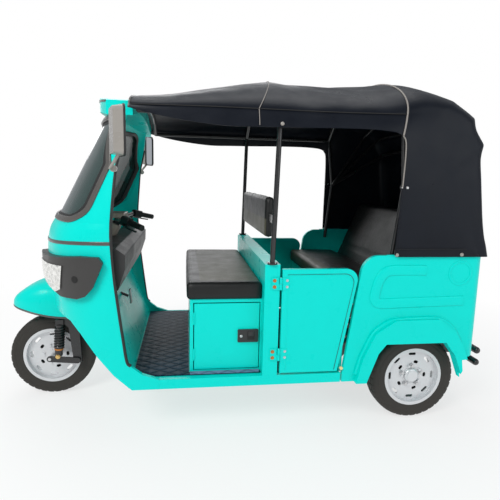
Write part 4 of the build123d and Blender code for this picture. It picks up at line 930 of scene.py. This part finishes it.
# Front mudguard: a hump with a flat skirt round its lower edge
FENDER = (
    # x, low edge, crown, half width
    (958, 498, 664, 150), (1010, 503, 683, 158), (1060, 510, 693, 163),
    (1110, 520, 693, 165), (1160, 532, 682, 160), (1210, 545, 661, 147),
    (1250, 553, 636, 124), (1280, 558, 611, 92), (1296, 560, 588, 58),
)
FENDER_TIP = (1299, 0, 566)
FENDER_STEPS = 28
SKIRT_SHARE = 0.16
fender_rows = smooth_line(FENDER, 4)


def make_fender():
    verts = []
    for x, low, high, half in fender_rows:
        for k in range(FENDER_STEPS + 1):
            t = -1 + 2 * k / FENDER_STEPS
            a = abs(t)
            y = half * math.copysign(math.sin(a * math.pi / 2) ** 0.85, t)
            skirt = SKIRT_SHARE * min(1.0, (1 - a) / 0.06)
            hump = (1 - SKIRT_SHARE) * (1 - a ** 3.2)
            verts.append((x, y, low + (high - low) * (skirt + hump)))
    wide = FENDER_STEPS + 1
    faces = grid_faces(len(fender_rows), wide, ring=False)
    last, tip = len(verts) - wide, len(verts)
    verts.append(FENDER_TIP)
    faces += [(last + k, last + k + 1, tip) for k in range(FENDER_STEPS)]
    obj = link_object("front_mudguard", make_mesh("front_mudguard", verts, faces))
    modify(obj, "SOLIDIFY", thickness=5 * MM, offset=-1)
    modify(obj, "SUBSURF", levels=1)
    apply_modifiers(obj)
    return obj


mudguard = make_fender()
finish_object(mudguard, [PAINT], "body", 40)
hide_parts("front_fender")
guard_edge = [(x, half + 1, low) for x, low, high, half in fender_rows]
guard_edge += [(1302, 0, 562)] + [(x, -y, z) for x, y, z in guard_edge[::-1]]
# Edge trim in the grey of painted sunlight on black rubber.
sweep("mudguard_trim", guard_edge, 6, SUNLIT_TRIM, "body")


# Cushions
def rounded_box(low, high, radius, gap):
    """Mesh of a closed rounded box, evenly divided."""
    mesh = bpy.data.meshes.new("work")
    work = bmesh.new()
    bmesh.ops.create_cube(work, size=1)
    size = [h - l for l, h in zip(low, high)]
    middle = [(h + l) / 2 for l, h in zip(low, high)]
    for vert in work.verts:
        vert.co = Vector([m + c * s for m, c, s in zip(middle, vert.co, size)])
    for axis in range(3):
        normal = Vector([float(axis == k) for k in range(3)])
        count = max(2, int(size[axis] / gap))
        for k in range(1, count):
            cut = low[axis] + size[axis] * k / count
            cut_across(work, normal * cut, normal, 1e-4)
    for vert in work.verts:
        inner = Vector([min(max(c, l + radius), h - radius)
                        for c, l, h in zip(vert.co, low, high)])
        out = vert.co - inner
        if sum(abs(c) > 1e-6 for c in out) > 1:
            vert.co = inner + out.normalized() * max(abs(c) for c in out)
    work.to_mesh(mesh)
    work.free()
    return mesh


def box_mm(node):
    low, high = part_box(node)
    return [c / MM for c in low], [c / MM for c in high]


def pad(name, node, radius, crown, is_sunlit_face):
    """Crowned cushion in a node's box; the last argument picks the faces painted as
    sunlit.
    """
    low, high = box_mm(node)
    mesh = rounded_box(low, high, radius, 16)
    for vert in mesh.vertices:
        u, v, w = (max(-1.0, min(1.0, (c - (h + l) / 2) / ((h - l) / 2)))
                   for c, l, h in zip(vert.co, low, high))
        fx, fy, fz = (1 - abs(c) ** 2.6 for c in (u, v, w))
        vert.co.z += crown[2] * fx * fy * max(0.0, w) ** 2
        vert.co.x += crown[0] * fy * fz * math.copysign(abs(u) ** 6, u)
        vert.co.y += crown[1] * fx * fz * math.copysign(abs(v) ** 6, v)
        vert.co.z += 1.4 * noise.noise(vert.co / 90) * max(0.0, w)
    for vert in mesh.vertices:
        vert.co = vert.co * MM
    obj = link_object(name, mesh)
    # Faces on which the sun fell take the lighter vinyl: painted sunlight.
    finish_object(obj, [VINYL, SUNLIT_VINYL], "body", 60)
    for poly in mesh.polygons:
        center = Vector(poly.center) / MM
        poly.material_index = int(is_sunlit_face(center, poly.normal, low, high))
    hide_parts(node)


# Faces painted as sunlit: the top of the driver's cushion, the lower front of its
# backrest and the front of the passenger's cushion.
def driver_seat_sunlit(c, n, low, high):
    return (n.z > 0.7 and c.z > high[2] - 12 and low[0] + 8 < c.x < high[0] - 70
            and abs(c.y) < high[1] - 50)


def driver_back_sunlit(c, n, low, high):
    return n.x > 0.5 and c.z < low[2] + 95


def passenger_seat_sunlit(c, n, low, high):
    return c.x > high[0] - 60 and n.z + n.x > 0.6


PADS = (
    # piece, node, edge radius, crown in x y z, faces painted as sunlit
    ("driver_cushion", "driver_seat_cushion", 20, (3, 3, 7), driver_seat_sunlit),
    ("driver_back_pad", "driver_backrest", 18, (5, 2, 2), driver_back_sunlit),
    ("passenger_cushion", "passenger_seat_cushion", 20, (3, 2, 7),
     passenger_seat_sunlit),
)
for row in PADS:
    pad(*row)

BACK_HEIGHT = 468.0
BACK_THICK = 84.0
BACK_TILT = math.atan2(180, 440)
BACK_FOOT = Vector((-805 - BACK_THICK, 0, 700.6))
BACK_GROOVES = (BACK_HEIGHT * 0.30, BACK_HEIGHT * 0.78)


def lean_back_pad():
    """Tall passenger backrest with two sewn grooves, leaning back."""
    low, high = box_mm("passenger_backrest")
    mesh = rounded_box([0, low[1], 0], [BACK_THICK, high[1], BACK_HEIGHT], 18, 18)
    cos, sin = math.cos(BACK_TILT), math.sin(BACK_TILT)
    for vert in mesh.vertices:
        x, y, z = vert.co
        v = y / high[1]
        w = 2 * z / BACK_HEIGHT - 1
        groove = sum(math.exp(-((z - at) / 7) ** 2) for at in BACK_GROOVES)
        puff = 7 * (1 - v ** 4) * (1 - w ** 4) - 5 * groove
        x += puff * (x / BACK_THICK) ** 4
        vert.co = (BACK_FOOT + Vector((x * cos - z * sin, y,
                                       x * sin * 0.2 + z * cos))) * MM
    obj = link_object("passenger_back_pad", mesh)
    finish_object(obj, [VINYL], "body", 60)
    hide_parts("passenger_backrest")


lean_back_pad()

# Relief of the rear side panels: a hooked rib, a round boss, the bead of the
# wheel arch and the lip under the hood. Lines are x and z.
RIB = ((-918, 858), (-820, 859), (-745, 859), (-700, 849), (-670, 816),
       (-655, 770), (-647, 724), (-654, 696), (-684, 683), (-780, 685),
       (-960, 689), (-1142, 693))
ARCH = ((-574, 302), (-600, 400), (-652, 512), (-706, 562), (-762, 586),
        (-860, 592), (-990, 592), (-1060, 566), (-1108, 516), (-1146, 440),
        (-1172, 366))
BOSS_X, BOSS_Z, BOSS_RADIUS, BOSS_STEPS = -1112, 842, 60, 48
LIP_X, LIP_Z = (-700, -1190), 934
for side, word in SIDES:
    out = (0, side, 0)
    rib = smooth_line([(x, side * (HALF_BODY - 1), z) for x, z in RIB], 5)
    sweep("panel_rib_" + word, rib, (27, 8.5), PAINT, "body",
          ups=out, sides=16)
    boss = circle(Vector((BOSS_X, side * HALF_BODY, BOSS_Z)), Vector((1, 0, 0)),
                  Vector((0, 0, 1)), BOSS_RADIUS, BOSS_STEPS)
    sweep("panel_boss_" + word, boss, (7, 3.6), PAINT, "body",
          closed=True, ups=out, sides=12)
    arch = smooth_line([(x, side * (HALF_BODY + 4), z) for x, z in ARCH], 6)
    sweep("arch_bead_" + word, arch, (17, 12), PAINT, "body",
          ups=out, sides=16)
    sweep("panel_lip_" + word, [(x, side * 596, LIP_Z) for x in LIP_X], 6, PAINT,
          "body")

# Doors: pressed border as x and z, drawn as a dark line of painted shade in its crease
# beside a bead; hinge bolts, and a stop on the sill
DOOR_FACE_Y = HALF_BODY + 4.3
HINGE_BOLT_Z = tuple(middle + step for middle in (795, 426) for step in (-16, 16))
BORDER_TOP = rounded_polygon(((-186, 842), (-538, 842), (-462, 420)), [0, 46, 0], 8)
BORDER = [(-186, 334), (-186, 840), *BORDER_TOP[1:-1], (-446, 334)]
for side, word in SIDES:
    out = (0, side, 0)
    door = word + "_door"
    line = [Vector((x, side * DOOR_FACE_Y, z)) for x, z in BORDER]
    sweep("door_border_" + word, line, (1.5, 0.8), SEAM_BLACK_AND_SHADE, door,
          ups=out, sides=8)
    bead = [(p.x + (0 if p.x > -300 else 5), p.y, p.z - (4 if p.z > 700 else 0))
            for p in line]
    sweep("door_bead_" + word, bead, (3, 1.2), PAINT, door,
          ups=out, sides=8)
    hex_bolt("hinge_bolts_" + word,
             [((-118, side * 606.5, z), out, 7, 5) for z in HINGE_BOLT_Z],
             COPPER, "body")
    hex_bolt("hinge_screws_" + word,
             [((-182, side * 607, z), out, 5, 3) for z in HINGE_BOLT_Z],
             STEEL, door)
    sweep("door_stop_" + word, [(-486, side * 600, 340), (-486, side * 609, 340)],
          9, AMBER, "body", sides=16)
    hex_bolt("post_bolts_" + word,
             [((x, side * 592, 899), (0, 0, 1), 5, 4) for x in (-84, -128)],
             STEEL, "body")

# Latch of the hatch
LATCH = (
    # name, x and z of two corners, corner radius, points, y, thickness,
    # material, rounded edge
    ("latch_plate", (-54, 473, 54, 543), 7, 4, 541, 3.5, PLASTIC, 1.0),
    # The pocket is a dark plate round the handle: painted shade in its recess.
    ("latch_pocket", (-34, 486, 4, 530), 4, 3, 544, 1.0, SEAM_BLACK_AND_SHADE, 0),
    ("latch_handle", (-30, 506, 0, 532), 4, 3, 544.5, 3.0, PLASTIC, 0.8),
)
for name, box, radius, per, face_y, thick, mat, edge in LATCH:
    plate(name, rectangle(*box, radius, per),
          lambda u, v, w, y=face_y: (u, y + w, v), thick, mat, "hatch",
          edge)
dome("latch_key", [((35, 544, 506), (0, 1, 0), 8, 4)], STEEL, "hatch")

# Tyres: half the section from the bead to the middle of the tread, turned round
TYRE_HALF = (
    # radius, half width, 1 where the rubber is notched between blocks
    (154, 46, 0), (160, 51, 0), (168, 53.2, 0), (171, 54.6, 0), (175, 53.6, 0),
    (188, 55.3, 0), (203, 55.8, 0), (206, 54.6, 0), (209, 55.4, 0), (221, 54, 0),
    (229, 50.5, 1), (235.5, 44, 1), (238, 36, 1), (233, 33.6, 0), (233, 30.6, 0),
    (239.2, 28, 1), (239.8, 14, 1), (234, 11.6, 0), (234, 8.6, 0), (239.9, 6, 1),
)
TYRE_LINE = TYRE_HALF + tuple((r, -w, b) for r, w, b in TYRE_HALF[::-1])
TYRE_STEPS = 216
NOTCH_EVERY = 6
NOTCH_SHIFT = 2
NOTCH_DEPTH = 4.0
NUT_COUNT = 5
NUT_RING = 58
WHEELS = (
    # name, body, x, y and the outward side of the hub
    ("front", "front_wheel", FRONT_WHEEL_X, 0, 0),
    ("rear_left", "rear_left_wheel", REAR_WHEEL_X, HALF_TRACK, 1),
    ("rear_right", "rear_right_wheel", REAR_WHEEL_X, -HALF_TRACK, -1),
)


def make_tyre(name, body, cx, cy):
    verts = []
    for k in range(TYRE_STEPS):
        t = 2 * math.pi * k / TYRE_STEPS
        for r, w, block in TYRE_LINE:
            shift = NOTCH_SHIFT if w < 0 else 0
            if block and (k + shift) % NOTCH_EVERY == 0:
                r -= NOTCH_DEPTH
            verts.append((cx + r * math.cos(t), cy + w,
                          WHEEL_RADIUS + r * math.sin(t)))
    faces = grid_faces(TYRE_STEPS, len(TYRE_LINE), loop=True)
    tread = mesh_piece(name + "_tread", verts, faces, TYRE, body, 30)
    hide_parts(name + "_tyre")


def make_hub(name, body, cx, cy, side):
    """Cap and nuts on the outer face of a rear rim."""
    out = (0, side, 0)
    dome(name + "_cap", [((cx, cy + side * 34, WHEEL_RADIUS), out, 42, 13)],
         RIM, body, 40)
    turns = [math.pi / 2 + 2 * math.pi * k / NUT_COUNT for k in range(NUT_COUNT)]
    hex_bolt(name + "_nuts",
             [((cx + NUT_RING * math.cos(t), cy + side * 32,
                WHEEL_RADIUS + NUT_RING * math.sin(t)), out, 9, 12)
              for t in turns],
             STEEL, body)


for name, body, cx, cy, side in WHEELS:
    make_tyre(name, body, cx, cy)
    if side:
        make_hub(name, body, cx, cy, side)
    # Brake drum behind the slots of the rim
    sweep(name + "_drum", [(cx, cy + w, WHEEL_RADIUS) for w in (-9, 9)], 118, BLACK,
          body, sides=64)


# Front suspension: a coil spring, a copper collar and a bolt on each side
SPRING_TURNS = 8.5
SPRING_RADIUS = 26
SPRING_WIRE = 4.4
SPRING_SHARE = 0.74


def coil(name, start, end):
    way = (end - start).normalized()
    side = way.cross(Vector((0, 1, 0))).normalized()
    up = way.cross(side)
    steps = int(SPRING_TURNS * 18)
    line = []
    for k in range(steps + 1):
        t = 2 * math.pi * SPRING_TURNS * k / steps
        line.append(start + (end - start) * (k / steps)
                    + (side * math.cos(t) + up * math.sin(t)) * SPRING_RADIUS)
    sweep(name, line, SPRING_WIRE, BLACK, "steering", sides=8)


for side, word in SIDES:
    top = Vector((1039, side * 109, 440))
    foot = Vector((1052, side * 109, 262))
    coil("front_spring_" + word, top, top.lerp(foot, SPRING_SHARE))
    hex_bolt("damper_bolts_" + word,
             [(foot + Vector((0, side * 20, -2)), (0, side, 0), 10, 8)],
             BRASSY, "steering")
    ring = foot.lerp(top, 0.2)
    sweep("damper_collar_" + word, [ring, ring.lerp(top, 0.06)], 25, COPPER,
          "steering", sides=24)

# Handlebar: levers, their perches and switch boxes
UP = (0, 0, 1)
for side, word in SIDES:
    lever = smooth_line([(664, side * 222, 1062), (652, side * 262, 1046),
                         (612, side * 322, 1030), (574, side * 362, 1020)], 6)
    sweep("brake_lever_" + word, lever, (6.5, 4), BLACK, "steering",
          ups=UP)
    sweep("switch_box_" + word, [(650, side * 236, 1072), (612, side * 276, 1061)],
          (20, 22), PLASTIC, "steering", ups=UP, sides=20)
    sweep("lever_perch_" + word, [(650, side * 236, 1066), (668, side * 222, 1050)],
          13, BLACK, "steering", sides=16)

# Mirrors: black rims and clamps
MIRROR_YAW = math.radians(16)
MIRROR_RIM = rectangle(-73, -102, 73, 102, 24, 8)
for side, word in SIDES:
    across = Vector((-math.sin(MIRROR_YAW), side * math.cos(MIRROR_YAW), 0))
    away = Vector((math.cos(MIRROR_YAW), side * math.sin(MIRROR_YAW), 0))
    middle = Vector((586, side * 728, 1492)) - away
    rim = [middle + across * u + Vector((0, 0, v)) for u, v in MIRROR_RIM]
    sweep("mirror_rim_" + word, rim, (4, 5), RUBBER, "body",
          closed=True, ups=tuple(-away))
    sweep("mirror_clamp_" + word, [(634, side * y, 1336) for y in (640, 664)], 15,
          SHELL, "body", sides=20)

# Side lights of the headlamps, tread strips, brake pedal and column shroud
LIGHT_Y, LIGHT_Z = 566, 822
for side, word in SIDES:
    y = side * LIGHT_Y
    dome("side_light_" + word,
         [(on_skin(y, LIGHT_Z, 31), skin_normal(y, LIGHT_Z), 17, 3)], SEAM_BLACK_AND_SHADE, "body",
         32)
    plate("tread_strip_" + word, rectangle(-60, side * 536, 296, side * 566, 4, 2),
          lambda u, v, w: (u, v, 318.6 + w), 3, MAT_LIGHT, "body")
sweep("brake_pedal", [(648, 60, 640), (640, 60, 560)], (26, 5), PEDAL, "body",
      ups=(-1, 0, 0), sides=16)
sweep("pedal_arm", [(700, 60, 620), (655, 60, 600)], 8, BLACK, "body",
      sides=12)
# The shroud takes the same painted sunlit cream as the instrument cover.
shroud = smooth_line([(792, 0, 900), (752, 0, 980), (728, 0, 1030)], 5)
sweep("column_shroud", shroud, (64, 34), SUNLIT_COVER_PLASTIC, "steering",
      ups=(1, 0, 0.4), sides=24)

# Trim along the front edge of the visor, which curves back and falls to its sides
VISOR_HALF = 560
VISOR_KNEE = 300
VISOR_STEPS = 24
visor_line = []
for k in range(-VISOR_STEPS, VISOR_STEPS + 1):
    y = VISOR_HALF * k / VISOR_STEPS
    x = 773.4 - 98.4 * (y / VISOR_HALF) ** 2
    inner, outer = min(abs(y), VISOR_KNEE), max(0, abs(y) - VISOR_KNEE)
    fall = 24 * inner / VISOR_KNEE + 36 * outer / (VISOR_HALF - VISOR_KNEE)
    visor_line.append((x, y, 1699 - fall))
# The visor trim is grey: painted sunlight on black rubber.
sweep("visor_trim", visor_line, (5, 6), SUNLIT_TRIM, "body",
      ups=(1, 0, 0), sides=12)
